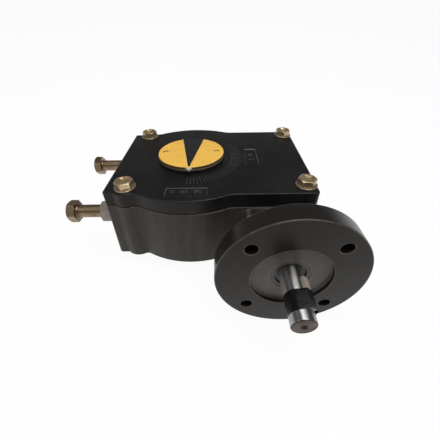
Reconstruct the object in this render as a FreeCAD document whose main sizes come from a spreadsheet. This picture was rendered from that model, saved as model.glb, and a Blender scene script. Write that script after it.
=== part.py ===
import FreeCAD, Part
import math
import os
import re

import Sketcher

# Quarter-turn worm gearbox for a valve. The origin is the centre of the valve mounting face, on the
# output axis. +Z is up, +X points to the worm, and the input shaft points along -Y. Millimetres.

SIZES = {
    # worm and quadrant
    "gear_module": 3.0,
    "wheel_teeth": 50,
    "worm_pitch_radius": 16.0,
    "worm_half_length": 37.0,
    "gear_face_width": 26.0,
    "flank_angle": 20.0,
    "tooth_backlash": 0.35,
    # base and cover castings
    "swing_gap": 1.5,
    "drum_wall": 6.9,
    "half_depth": 75.4,
    "cavity_left": 34.0,
    "stop_wall": 46.6,
    "worm_to_right_wall": 35.4,
    "worm_roof": 5.0,
    "floor_thickness": 22.0,
    "floor_gap": 3.0,
    "gasket_thickness": 1.0,
    "cover_thickness": 14.5,
    "seam_ledge": 0.8,
    "corner_round": 4.0,
    "corner_pad_margin": 8.5,
    "boss_radius": 13.0,
    "boss_foot_radius": 15.0,
    "plaque_length": 40.0,
    "plaque_width": 14.0,
    "plaque_height": 0.6,
    "plaque_distance": 70.0,
    # cover bolts
    "left_bolt_inset": 20.6,
    "right_bolt_inset": 10.9,
    "side_bolt_inset": 13.9,
    "cover_bolt_radius": 5.0,
    "cover_bolt_flats": 17.0,
    "cover_bolt_head": 6.4,
    "cover_bolt_engagement": 11.0,
    "washer_radius": 10.5,
    "washer_thickness": 2.0,
    # fits
    "fit_gap": 0.02,
    "running_gap": 0.05,
    "bolt_hole_gap": 0.5,
    "thread_end_gap": 1.0,
    # input flange and rear cap
    "flange_radius": 65.0,
    "flange_thickness": 19.5,
    "flange_standoff": 65.6,
    "flange_rim_chamfer": 1.5,
    "flange_bolt_circle_radius": 51.0,
    "flange_hole_radius": 5.5,
    "recess_radius": 35.0,
    "recess_depth": 4.2,
    "neck_radius": 21.0,
    "neck_wall": 9.5,
    "foot_half_width": 34.5,
    "foot_half_height": 25.0,
    "foot_thickness": 12.0,
    "foot_bolt_across": 27.5,
    "foot_bolt_up": 9.5,
    "foot_bolt_radius": 4.0,
    "foot_bolt_flats": 13.0,
    "foot_bolt_head": 5.3,
    "foot_bolt_depth": 14.0,
    "rear_cap_thickness": 8.0,
    "spigot_length": 3.0,
    "seal_radius": 17.5,
    "seal_thickness": 6.5,
    "seal_sunk": 0.5,
    # worm shaft and its bearings
    "shaft_radius": 10.0,
    "shaft_projection": 41.8,
    "shaft_chamfer": 1.2,
    "centre_hole_radius": 2.5,
    "bearing_radius": 21.0,
    "bearing_width": 15.0,
    "bearing_ring": 3.0,
    "roller_length": 11.0,
    "roller_count": 13,
    # input key and tape
    "key_width": 6.0,
    "key_height": 6.0,
    "key_sunk": 3.5,
    "key_length": 28.0,
    "key_start": 4.5,
    "key_clock": 48.0,
    "tape_start": 11.0,
    "tape_length": 20.0,
    "tape_thickness": 0.6,
    # stop bolts
    "stop_bolt_radius": 7.0,
    "stop_bolt_length": 100.0,
    "stop_bolt_flats": 21.0,
    "stop_bolt_head": 8.8,
    "stop_half_spacing": 51.5,
    "stop_rise": 6.0,
    "front_stop_reach": 41.1,
    "rear_stop_reach": 48.9,
    "stop_gap": 0.3,
    "lock_nut_height": 11.0,
    "stop_washer_radius": 12.0,
    "stop_washer_thickness": 3.0,
    # output hub, bushes and seals
    "hub_shoulder": 5.5,
    "hub_gap": 4.0,
    "lower_journal_radius": 36.0,
    "upper_journal_radius": 33.0,
    "bush_wall": 3.0,
    "thrust_washer_thickness": 2.0,
    "o_ring_space": 3.0,
    "seal_lip": 1.0,
    "lip_gap": 0.4,
    "sleeve_radius": 26.0,
    "sleeve_height": 58.0,
    "valve_face_gap": 0.5,
    "stem_radius": 17.5,
    "stem_key_width": 10.0,
    "stem_key_depth": 3.3,
    "sleeve_key_width": 14.0,
    "sleeve_key_height": 9.0,
    "sleeve_key_length": 50.0,
    # valve face, matching a four-bolt pattern of 140 mm
    "valve_bolt_circle_radius": 70.0,
    "valve_hole_radius": 8.0,
    "valve_hole_depth": 16.0,
    "drill_point_angle": 20.0,
    # position indicator
    "indicator_radius": 38.0,
    "indicator_cap_thickness": 4.3,
    "indicator_base_thickness": 3.2,
    "indicator_gap": 0.3,
    "indicator_base_inset": 0.8,
    "wedge_half_width": 13.3,
    "wedge_margin": 1.5,
    "wedge_sunk": 0.5,
    "wedge_gap": 0.15,
    "pointer_width": 6.0,
    "pointer_reach": 2.6,
    "indicator_screw_inset": 4.0,
    "indicator_screw_radius": 2.0,
    "indicator_screw_head_radius": 3.2,
    "indicator_screw_head": 1.6,
    "indicator_screw_length": 13.0,
}

# Sizes that follow from the ones above, as expression text.
DERIVED = {
    "pitch_radius": "gear_module * wheel_teeth / 2",
    "tip_radius": "pitch_radius + gear_module",
    "tooth_root_radius": "pitch_radius - 1.25 * gear_module",
    "worm_tip_radius": "worm_pitch_radius + gear_module",
    "worm_root_radius": "worm_pitch_radius - 1.25 * gear_module",
    "worm_lead": "gear_module * pi",
    "centre_distance": "pitch_radius + worm_pitch_radius",
    "worm_height": "floor_thickness + floor_gap + gear_face_width / 2",
    "base_height": "worm_height + bearing_radius + worm_roof",
    "cavity_radius": "tip_radius + swing_gap",
    "body_radius": "cavity_radius + drum_wall",
    "left_reach": "cavity_left + stop_wall",
    "right_reach": "centre_distance + worm_to_right_wall",
    "cover_base": "base_height + gasket_thickness",
    "cover_top": "cover_base + cover_thickness",
    "left_bolt_x": "left_reach - left_bolt_inset",
    "right_bolt_x": "right_reach - right_bolt_inset",
    "bolt_y": "half_depth - side_bolt_inset",
    "pad_half_depth": "bolt_y + corner_pad_margin",
    "thread_hole_radius": "cover_bolt_radius + fit_gap",
    "worm_bore_radius": "bearing_radius + fit_gap",
    "bearing_outside": "half_depth - spigot_length",
    "bearing_inside": "bearing_outside - bearing_width",
    "flange_face": "half_depth + flange_standoff",
    "recess_floor": "flange_face - recess_depth",
    "flange_back": "flange_face - flange_thickness",
    "foot_front": "half_depth + foot_thickness",
    "neck_bore_radius": "neck_radius - neck_wall",
    "shaft_front": "flange_face + shaft_projection",
    "shaft_rear": "bearing_outside - thread_end_gap",
    "roller_circle_radius": "(shaft_radius + bearing_radius) / 2",
    "roller_radius": "(bearing_radius - shaft_radius) / 2 - bearing_ring - 2 * running_gap",
    "key_floor": "shaft_radius - key_sunk",
    "key_top": "key_floor + key_height",
    "stop_z": "worm_height + stop_rise",
    "front_stop_tip": "left_reach + front_stop_reach - stop_bolt_length",
    "rear_stop_tip": "left_reach + rear_stop_reach - stop_bolt_length",
    "hub_radius": "lower_journal_radius + hub_shoulder",
    "lower_bush_radius": "lower_journal_radius + bush_wall",
    "upper_bush_radius": "upper_journal_radius + bush_wall",
    "hub_bottom": "floor_thickness + thrust_washer_thickness + stop_gap",
    "hub_top": "cover_base - swing_gap",
    "hub_bore_radius": "sleeve_radius + fit_gap",
    "output_top": "cover_top + indicator_gap",
    "sleeve_top": "valve_face_gap + sleeve_height",
    "sleeve_key_out": "sleeve_radius + sleeve_key_height / 2",
    "sleeve_key_in": "sleeve_radius - sleeve_key_height / 2",
    "indicator_cap_base": "output_top + indicator_base_thickness",
    "indicator_screw_distance": "upper_journal_radius - indicator_screw_inset",
    "wedge_apex": "indicator_radius - wedge_margin",
    "indicator_top": "indicator_cap_base + indicator_cap_thickness",
}

TEXT_PATTERN = re.compile(r"[a-z_]+")
PLAIN_TURN = FreeCAD.Rotation()
ALONG_X = FreeCAD.Rotation(FreeCAD.Vector(0, 1, 0), 90)
TOWARDS_FRONT = FreeCAD.Rotation(FreeCAD.Vector(1, 0, 0), 90)
AT_ORIGIN = ("0", "0", "0")
WORM_AXIS = ("centre_distance", "0", "worm_height")
FRONT_AND_BACK = (-1, 1)

doc = FreeCAD.newDocument("valve_gearbox")
sheet = doc.addObject("Spreadsheet::Sheet", "dims")
for row, (alias, size) in enumerate(SIZES.items(), start=1):
    sheet.set(f"A{row}", alias)
    sheet.set(f"B{row}", str(size))
    sheet.setAlias(f"B{row}", alias)
doc.recompute()

nodes = []


# Expressions and placements

def expand(text):
    """Writes each named size in an expression as a cell of the sheet."""
    def cell(match):
        word = match.group(0)
        if word in DERIVED:
            return f"({expand(DERIVED[word])})"
        return f"dims.{word}" if word in SIZES else word
    return TEXT_PATTERN.sub(cell, text)


def value(text):
    """The number that an expression gives now."""
    return float(sheet.evalExpression(expand(text)))


def bind(item, sizes):
    for name, text in sizes.items():
        item.setExpression(name, expand(text))


def place(item, at, turn=PLAIN_TURN):
    """Sets an object down at a point given by expressions."""
    item.Placement = FreeCAD.Placement(FreeCAD.Vector(*[value(text) for text in at]), turn)
    for axis, text in zip("xyz", at):
        item.setExpression(f"Placement.Base.{axis}", expand(text))


def finish(item, name):
    """Registers an object as a piece of its own."""
    item.Label = name
    nodes.append(item)
    return item


# Features inside a body

def new_body(name):
    return doc.addObject("PartDesign::Body", name)


def feature(body, kind, name, at=AT_ORIGIN, turn=PLAIN_TURN, **sizes):
    """Adds or cuts a box, cylinder, cone or prism."""
    item = body.newObject(f"PartDesign::{kind}", name)
    bind(item, sizes)
    place(item, at, turn)
    return item


def origin_plane(body, role):
    return next(item for item in body.Origin.OriginFeatures if item.Role == role)


def new_sketch(body, name, role, lift="0"):
    sketch = body.newObject("Sketcher::SketchObject", name)
    sketch.AttachmentSupport = [(origin_plane(body, role), "")]
    sketch.MapMode = "FlatFace"
    sketch.setExpression("AttachmentOffset.Base.z", expand(lift))
    return sketch


def outline_sketch(body, name, points, role="XZ_Plane", lift="0"):
    """A closed outline of straight lines through points given by expressions."""
    sketch = new_sketch(body, name, role, lift)
    spots = [FreeCAD.Vector(value(across), value(up), 0) for across, up in points]
    for first, last in zip(spots, spots[1:] + spots[:1]):
        sketch.addGeometry(Part.LineSegment(first, last), False)
    for line in range(len(points)):
        following = (line + 1) % len(points)
        sketch.addConstraint(Sketcher.Constraint("Coincident", line, 2, following, 1))
    for line, (across, up) in enumerate(points):
        for kind, text in (("DistanceX", across), ("DistanceY", up)):
            number = sketch.addConstraint(Sketcher.Constraint(kind, -1, 1, line, 1, value(text)))
            sketch.setExpression(f"Constraints[{number}]", expand(text))
    return sketch


def revolve(body, name, points):
    """Turns an outline of (radius, height) points about the body's Z axis."""
    sketch = outline_sketch(body, f"{name}_outline", points)
    item = body.newObject("PartDesign::Revolution", name)
    item.Profile = sketch
    item.ReferenceAxis = (sketch, ["V_Axis"])
    item.Angle = 360
    return item


def pad(body, name, points, lift, length):
    sketch = outline_sketch(body, f"{name}_outline", points, "XY_Plane", lift)
    item = body.newObject("PartDesign::Pad", name)
    item.Profile = sketch
    bind(item, {"Length": length})
    return item


def pocket_down(body, name, sketch, depth):
    """Cuts a sketch downwards, and makes sure that it removed something."""
    doc.recompute()
    before = body.Shape.Volume
    item = body.newObject("PartDesign::Pocket", name)
    item.Profile = sketch
    bind(item, {"Length": depth})
    doc.recompute()
    if body.Shape.Volume >= before:
        raise RuntimeError(f"{name} cuts nothing")
    return item


def upright_edges(item, spots):
    """Names of the vertical edges that stand at the given (x, y) spots."""
    found = []
    for number, edge in enumerate(item.Shape.Edges, start=1):
        ends = [vertex.Point for vertex in edge.Vertexes]
        for x, y in spots:
            if all(math.hypot(end.x - x, end.y - y) < 0.01 for end in ends):
                found.append(f"Edge{number}")
    return found


def dress_edges(body, kind, spots, size_name, size_text):
    """Rounds or chamfers the upright edges at the given spots."""
    doc.recompute()
    base = body.Tip
    corners = [(value(x), value(y)) for x, y in spots]
    item = body.newObject(f"PartDesign::{kind}", f"{base.Name}_{kind.lower()}")
    item.Base = (base, upright_edges(base, corners))
    bind(item, {size_name: size_text})
    return item


# Shapes that several pieces share

def casting_outline(body, inset, bottom, height, boss_foot):
    """The outline of base, gasket and cover: drum, worm block and two bolt bosses."""
    radius = f"body_radius - {inset}"
    left = f"left_reach - {inset}"
    right = f"right_reach - {inset}"
    depth = f"half_depth - {inset}"
    pad_depth = f"pad_half_depth - {inset}"
    feature(body, "AdditiveCylinder", "drum", ("0", "0", bottom), Radius=radius, Height=height)
    feature(body, "SubtractiveBox", "stop_wall_flat", (f"-({left}) - body_radius", "-body_radius", bottom),
            Length="body_radius", Width="2 * body_radius", Height=height)
    feature(body, "AdditiveBox", "worm_block", ("0", f"-({depth})", bottom),
            Length=right, Width=f"2 * ({depth})", Height=height)
    feature(body, "AdditiveBox", "corner_pads", (f"-({left})", f"-({pad_depth})", bottom),
            Length=f"left_bolt_inset - {inset}", Width=f"2 * ({pad_depth})", Height=height)
    right_corners = [(right, f"{side} * ({depth})") for side in FRONT_AND_BACK]
    left_corners = [(f"-({left})", f"{side} * ({pad_depth})") for side in FRONT_AND_BACK]
    dress_edges(body, "Fillet", right_corners, "Radius", "corner_round")
    dress_edges(body, "Chamfer", left_corners, "Size", "corner_round")
    for side in FRONT_AND_BACK:
        feature(body, "AdditiveCone", "bolt_boss", ("-left_bolt_x", f"{side} * bolt_y", bottom),
                Radius1=f"{boss_foot} - {inset}", Radius2=f"boss_radius - {inset}", Height=height)


def cover_bolt_places():
    return [(x, f"{side} * bolt_y") for x in ("-left_bolt_x", "right_bolt_x") for side in FRONT_AND_BACK]


def foot_bolt_places():
    return [(f"{across} * foot_bolt_across", f"{up} * foot_bolt_up") for across in (-1, 1) for up in (-1, 1)]


def cover_bolt_holes(body, radius, bottom, height):
    for x, y in cover_bolt_places():
        feature(body, "SubtractiveCylinder", "bolt_hole", (x, y, bottom), Radius=radius, Height=height)


def swing_outline(body, name, lift):
    """D-shaped room in which the quadrant swings, closed on the left by the stop wall."""
    sketch = new_sketch(body, name, "XY_Plane", lift)
    radius = value("cavity_radius")
    left = -value("cavity_left")
    chord = math.sqrt(radius ** 2 - left ** 2)
    start = math.atan2(-chord, left)
    circle = Part.Circle(FreeCAD.Vector(0, 0, 0), FreeCAD.Vector(0, 0, 1), radius)
    upper = FreeCAD.Vector(left, chord, 0)
    lower = FreeCAD.Vector(left, -chord, 0)
    sketch.addGeometry(Part.ArcOfCircle(circle, start, -start), False)
    sketch.addGeometry(Part.LineSegment(upper, lower), False)
    sketch.addConstraint(Sketcher.Constraint("Coincident", 0, 3, -1, 1))
    sketch.addConstraint(Sketcher.Constraint("Coincident", 0, 2, 1, 1))
    sketch.addConstraint(Sketcher.Constraint("Coincident", 1, 2, 0, 1))
    sketch.addConstraint(Sketcher.Constraint("Vertical", 1))
    size = sketch.addConstraint(Sketcher.Constraint("Radius", 0, radius))
    sketch.setExpression(f"Constraints[{size}]", expand("cavity_radius"))
    wall = sketch.addConstraint(Sketcher.Constraint("DistanceX", -1, 1, 1, 1, left))
    sketch.setExpression(f"Constraints[{wall}]", expand("-cavity_left"))
    return sketch


def ring(name, inner, outer, bottom, top, at=AT_ORIGIN, turn=PLAIN_TURN):
    """A plain ring between two radii and two heights."""
    body = new_body(name)
    revolve(body, "ring", [(inner, bottom), (outer, bottom), (outer, top), (inner, top)])
    place(body, at, turn)
    return finish(body, name)


def o_ring(name, inner, outer, height):
    """A rubber ring between a journal and its bore."""
    item = doc.addObject("Part::Torus", name)
    bind(item, {"Radius1": f"({inner} + {outer}) / 2", "Radius2": f"({outer} - {inner}) / 2"})
    place(item, ("0", "0", height))
    return finish(item, name)


def solid(kind, name, at=AT_ORIGIN, turn=PLAIN_TURN, **sizes):
    item = doc.addObject(f"Part::{kind}", name)
    bind(item, sizes)
    place(item, at, turn)
    return item


def combine(kind, name, base, tool):
    item = doc.addObject(f"Part::{kind}", name)
    item.Base = base
    item.Tool = tool
    return item


def hex_block(name, flats, height):
    """A hexagon whose upper corners are turned off at 30 degrees."""
    hexagon = solid("Prism", f"{name}_hexagon", Circumradius=f"{flats} / sqrt(3)", Height=height)
    hexagon.Polygon = 6
    top = f"0.475 * {flats}"
    turned = solid("Cone", f"{name}_turning",
                   Radius1=f"{top} + sqrt(3) * {height}", Radius2=top, Height=height)
    return combine("Common", f"{name}_block", hexagon, turned)


def hex_bolt(name, radius, flats, head, length, at, turn):
    """A hexagon bolt: head above its seat, shank below it."""
    block = hex_block(name, flats, head)
    overlap = f"{head} / 2"
    shank = solid("Cylinder", f"{name}_shank", ("0", "0", f"-({length})"),
                  Radius=radius, Height=f"{length} + {overlap}")
    bolt = combine("Fuse", name, block, shank)
    place(bolt, at, turn)
    return bolt


def group(name, items, at=AT_ORIGIN, turn=PLAIN_TURN):
    """Identical pieces kept together as one node of separate solids."""
    compound = doc.addObject("Part::Compound", name)
    compound.Links = items
    place(compound, at, turn)
    return finish(compound, name)


# Castings and their fasteners

def make_housing():
    body = new_body("housing")
    casting_outline(body, "0", "0", "base_height", "boss_foot_radius")
    room = swing_outline(body, "swing_room_outline", "base_height")
    pocket_down(body, "swing_room", room, "base_height - floor_thickness")
    feature(body, "SubtractiveCylinder", "hub_room", ("0", "0", "floor_thickness"),
            Radius="hub_radius + hub_gap", Height="base_height")
    feature(body, "SubtractiveCylinder", "journal_opening", ("0", "0", "-seal_lip"),
            Radius="lower_journal_radius + lip_gap", Height="floor_thickness")
    feature(body, "SubtractiveCylinder", "bush_seat", ("0", "0", "seal_lip"),
            Radius="lower_bush_radius + fit_gap", Height="floor_thickness")
    feature(body, "SubtractiveCylinder", "worm_bore", ("centre_distance", "2 * half_depth", "worm_height"),
            TOWARDS_FRONT, Radius="worm_bore_radius", Height="4 * half_depth")
    cover_bolt_holes(body, "thread_hole_radius", "base_height - cover_bolt_engagement - thread_end_gap",
                     "base_height")
    quarter = "valve_bolt_circle_radius / sqrt(2)"
    for x_side in (-1, 1):
        for y_side in FRONT_AND_BACK:
            feature(body, "SubtractiveCylinder", "valve_hole",
                    (f"{x_side} * {quarter}", f"{y_side} * {quarter}", "-valve_hole_depth"),
                    Radius="valve_hole_radius", Height="2 * valve_hole_depth")
            feature(body, "SubtractiveCone", "valve_hole_end",
                    (f"{x_side} * {quarter}", f"{y_side} * {quarter}", "valve_hole_depth"),
                    Radius1="valve_hole_radius", Radius2="0",
                    Height="valve_hole_radius * tan(drill_point_angle)")
    for side in FRONT_AND_BACK:
        feature(body, "SubtractiveCylinder", "stop_hole",
                ("-left_reach - boss_radius", f"{side} * stop_half_spacing", "stop_z"), ALONG_X,
                Radius="stop_bolt_radius + running_gap", Height="stop_wall + 2 * boss_radius")
    depth = "foot_bolt_depth + thread_end_gap"
    for across, up in foot_bolt_places():
        spot = (f"centre_distance + {across}", f"worm_height + {up}")
        feature(body, "SubtractiveCylinder", "flange_bolt_hole", (spot[0], f"-half_depth + {depth}", spot[1]),
                TOWARDS_FRONT, Radius="foot_bolt_radius + fit_gap", Height=f"2 * ({depth})")
        feature(body, "SubtractiveCylinder", "cap_bolt_hole", (spot[0], f"half_depth + {depth}", spot[1]),
                TOWARDS_FRONT, Radius="foot_bolt_radius + fit_gap", Height=f"2 * ({depth})")
    finish(body, "housing")


def make_cover_gasket():
    body = new_body("cover_gasket")
    inset = "seam_ledge / 2"
    casting_outline(body, inset, "base_height", "gasket_thickness", "boss_radius")
    room = swing_outline(body, "gasket_window_outline", "cover_base")
    pocket_down(body, "gasket_window", room, "gasket_thickness")
    feature(body, "SubtractiveCylinder", "hub_window", ("0", "0", "base_height"),
            Radius="hub_radius + hub_gap", Height="gasket_thickness")
    cover_bolt_holes(body, "cover_bolt_radius + bolt_hole_gap", "base_height", "gasket_thickness")
    finish(body, "cover_gasket")


def make_cover():
    body = new_body("cover")
    casting_outline(body, "seam_ledge", "cover_base", "cover_thickness", "boss_radius")
    feature(body, "AdditiveBox", "front_plaque",
            ("-plaque_length / 2", "-plaque_distance - plaque_width / 2", "cover_base"),
            Length="plaque_length", Width="plaque_width", Height="cover_thickness + plaque_height")
    feature(body, "AdditiveBox", "side_plaque",
            ("plaque_distance - plaque_width / 2", "-plaque_length / 2", "cover_base"),
            Length="plaque_width", Width="plaque_length", Height="cover_thickness + plaque_height")
    feature(body, "SubtractiveCylinder", "bush_seat", ("0", "0", "cover_base"),
            Radius="upper_bush_radius + fit_gap", Height="cover_thickness - seal_lip")
    feature(body, "SubtractiveCylinder", "journal_opening", ("0", "0", "cover_base"),
            Radius="upper_journal_radius + lip_gap", Height="2 * cover_thickness")
    cover_bolt_holes(body, "cover_bolt_radius + bolt_hole_gap", "cover_base", "2 * cover_thickness")
    finish(body, "cover")


def make_cover_bolts():
    bolts = []
    washers = []
    length = "washer_thickness + cover_thickness + gasket_thickness + cover_bolt_engagement"
    for x, y in cover_bolt_places():
        bolts.append(hex_bolt("cover_bolt", "cover_bolt_radius", "cover_bolt_flats", "cover_bolt_head",
                              length, (x, y, "cover_top + washer_thickness"), PLAIN_TURN))
        plate = solid("Cylinder", "washer_plate", Radius="washer_radius", Height="washer_thickness")
        hole = solid("Cylinder", "washer_hole", Radius="cover_bolt_radius + bolt_hole_gap / 2",
                     Height="washer_thickness")
        washer = combine("Cut", "washer", plate, hole)
        place(washer, (x, y, "cover_top"))
        washers.append(washer)
    group("cover_bolts", bolts)
    group("cover_washers", washers)


def make_input_flange():
    """Round front flange, neck, rectangular foot and the spigot in the worm bore."""
    body = new_body("input_flange")
    pocket_depth = "seal_thickness + seal_sunk"
    revolve(body, "flange", [
        ("0", "flange_back"),
        ("flange_radius", "flange_back"),
        ("flange_radius", "flange_face - flange_rim_chamfer"),
        ("flange_radius - flange_rim_chamfer", "flange_face"),
        ("recess_radius", "flange_face"),
        ("recess_radius", "recess_floor"),
        ("0", "recess_floor"),
    ])
    feature(body, "AdditiveCylinder", "neck", ("0", "0", "half_depth"),
            Radius="neck_radius", Height="flange_back - half_depth")
    make_foot(body, "foot_thickness", "half_depth")
    feature(body, "AdditiveCylinder", "spigot", ("0", "0", "bearing_outside"),
            Radius="bearing_radius", Height="spigot_length")
    feature(body, "SubtractiveCylinder", "shaft_way", ("0", "0", "bearing_outside"),
            Radius="neck_bore_radius", Height="flange_face")
    feature(body, "SubtractiveCylinder", "seal_pocket", ("0", "0", f"recess_floor - ({pocket_depth})"),
            Radius="seal_radius + fit_gap", Height=pocket_depth)
    quarter = "flange_bolt_circle_radius / sqrt(2)"
    for across in (-1, 1):
        for up in (-1, 1):
            feature(body, "SubtractiveCylinder", "flange_hole",
                    (f"{across} * {quarter}", f"{up} * {quarter}", "flange_back"),
                    Radius="flange_hole_radius", Height="flange_thickness")
    place(body, WORM_AXIS, TOWARDS_FRONT)
    finish(body, "input_flange")


def make_foot(body, thickness, seat):
    """Rectangular foot with four bolt holes, standing on the wall at seat."""
    feature(body, "AdditiveBox", "foot", ("-foot_half_width", "-foot_half_height", seat),
            Length="2 * foot_half_width", Width="2 * foot_half_height", Height=thickness)
    for across, up in foot_bolt_places():
        feature(body, "SubtractiveCylinder", "foot_hole", (across, up, seat),
                Radius="foot_bolt_radius + bolt_hole_gap", Height=thickness)


def make_rear_cap():
    body = new_body("rear_cap")
    make_foot(body, "rear_cap_thickness", "-half_depth - rear_cap_thickness")
    feature(body, "AdditiveCylinder", "spigot", ("0", "0", "-half_depth - rear_cap_thickness"),
            Radius="bearing_radius", Height="rear_cap_thickness + spigot_length")
    place(body, WORM_AXIS, TOWARDS_FRONT)
    finish(body, "rear_cap")


def make_foot_bolts(name, thickness, seat, direction):
    """Four bolts through a foot. direction is 1 where the heads face the front."""
    turn = FreeCAD.Rotation() if direction > 0 else FreeCAD.Rotation(FreeCAD.Vector(1, 0, 0), 180)
    bolts = [hex_bolt("foot_bolt", "foot_bolt_radius", "foot_bolt_flats", "foot_bolt_head",
                      f"{thickness} + foot_bolt_depth", (across, up, seat), turn)
             for across, up in foot_bolt_places()]
    group(name, bolts, WORM_AXIS, TOWARDS_FRONT)


# Output side

def make_toothed_sector():
    """Worm wheel teeth with a small twist, trimmed by the two stop faces."""
    teeth = int(round(value("wheel_teeth")))
    pitch_radius = value("pitch_radius")
    root_radius = value("tooth_root_radius")
    tip_radius = value("tip_radius")
    flank = math.radians(value("flank_angle"))
    base_radius = pitch_radius * math.cos(flank)
    lead = value("worm_lead")
    rim_radius = (value("hub_bore_radius") + value("hub_radius")) / 2 + value("sleeve_key_height") / 4
    front_face = value("front_stop_tip - stop_gap")
    rear_face = value("rear_stop_tip - stop_gap")
    width = value("gear_face_width")
    middle = value("worm_height")
    twist = lead / (2 * math.pi) / value("worm_pitch_radius") / pitch_radius
    thread_shift = value("worm_half_length") + lead * value("key_clock") / 360
    first_gap = (thread_shift % lead) / pitch_radius

    def involute(radius):
        roll = math.acos(min(1.0, base_radius / radius))
        return math.tan(roll) - roll

    def half_tooth(radius):
        return math.pi / (2 * teeth) + involute(pitch_radius) - involute(radius)

    step = 2 * math.pi / teeth
    low = -math.pi / 2 - math.asin(front_face / rim_radius)
    high = math.asin(rear_face / rim_radius)
    first = math.floor((low - first_gap) / step)
    last = math.ceil((high - first_gap) / step)
    radii = [root_radius + (tip_radius - root_radius) * share / 3 for share in range(4)]
    corners = []
    for tooth in range(first, last):
        centre = first_gap + (tooth + 0.5) * step
        corners += [(radius, centre - half_tooth(radius)) for radius in radii]
        corners += [(radius, centre + half_tooth(radius)) for radius in reversed(radii)]
    inner_steps = 14
    start = corners[0][1]
    end = corners[-1][1]
    for number in range(inner_steps + 1):
        corners.append((rim_radius, end + (start - end) * number / inner_steps))

    def wire(height):
        turn = twist * (height - middle)
        points = [FreeCAD.Vector(radius * math.cos(angle + turn), radius * math.sin(angle + turn), height)
                  for radius, angle in corners]
        return Part.makePolygon(points + points[:1])

    wheel = Part.makeLoft([wire(middle - width / 2), wire(middle + width / 2)], True, True)
    reach = 2 * tip_radius
    window_corner = FreeCAD.Vector(-front_face, rear_face - reach, 0)
    window = Part.makeBox(reach, reach, 2 * middle + width, window_corner)
    sector = doc.addObject("Part::Feature", "toothed_sector")
    sector.Shape = wheel.common(window)
    return sector


def make_quadrant():
    body = new_body("quadrant_hub")
    revolve(body, "hub", [
        ("hub_bore_radius", "valve_face_gap"),
        ("lower_journal_radius", "valve_face_gap"),
        ("lower_journal_radius", "hub_bottom"),
        ("hub_radius", "hub_bottom"),
        ("hub_radius", "hub_top"),
        ("upper_journal_radius", "hub_top"),
        ("upper_journal_radius", "output_top"),
        ("0", "output_top"),
        ("0", "sleeve_top"),
        ("hub_bore_radius", "sleeve_top"),
    ])
    feature(body, "SubtractiveBox", "key_slot", ("0", "-sleeve_key_width / 2", "0"),
            Length="sleeve_key_out", Width="sleeve_key_width", Height="valve_face_gap + sleeve_key_length")
    for side in FRONT_AND_BACK:
        feature(body, "SubtractiveCylinder", "screw_hole",
                (f"{side} * indicator_screw_distance", "0", "indicator_top - indicator_screw_length"),
                Radius="indicator_screw_radius + fit_gap", Height="indicator_screw_length")
    quadrant = combine("Fuse", "quadrant", body, make_toothed_sector())
    finish(quadrant, "quadrant")


def make_drive_sleeve():
    body = new_body("drive_sleeve")
    revolve(body, "sleeve", [
        ("stem_radius", "valve_face_gap"),
        ("sleeve_radius", "valve_face_gap"),
        ("sleeve_radius", "sleeve_top"),
        ("stem_radius", "sleeve_top"),
    ])
    feature(body, "SubtractiveBox", "key_seat", ("sleeve_key_in", "-sleeve_key_width / 2", "0"),
            Length="sleeve_radius", Width="sleeve_key_width", Height="valve_face_gap + sleeve_key_length")
    feature(body, "SubtractiveBox", "stem_keyway",
            ("-stem_radius - stem_key_depth", "-stem_key_width / 2", "0"),
            Length="stem_radius", Width="stem_key_width", Height="2 * sleeve_height")
    finish(body, "drive_sleeve")


def make_sleeve_key():
    key = solid("Box", "sleeve_key",
                ("sleeve_key_in", "-sleeve_key_width / 2 + fit_gap", "valve_face_gap"),
                Length="sleeve_key_height - fit_gap", Width="sleeve_key_width - 2 * fit_gap",
                Height="sleeve_key_length")
    finish(key, "sleeve_key")


def wedge_points(grow):
    """The V of the indicator: its point at the front, its mouth at the back rim."""
    slope = "wedge_half_width / (2 * wedge_apex)"
    mouth = f"({slope}) * (indicator_radius + wedge_apex) + {grow}"
    return [
        ("0", f"-wedge_apex - 2 * {grow}"),
        (mouth, "indicator_radius"),
        (f"-({mouth})", "indicator_radius"),
    ]


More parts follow.
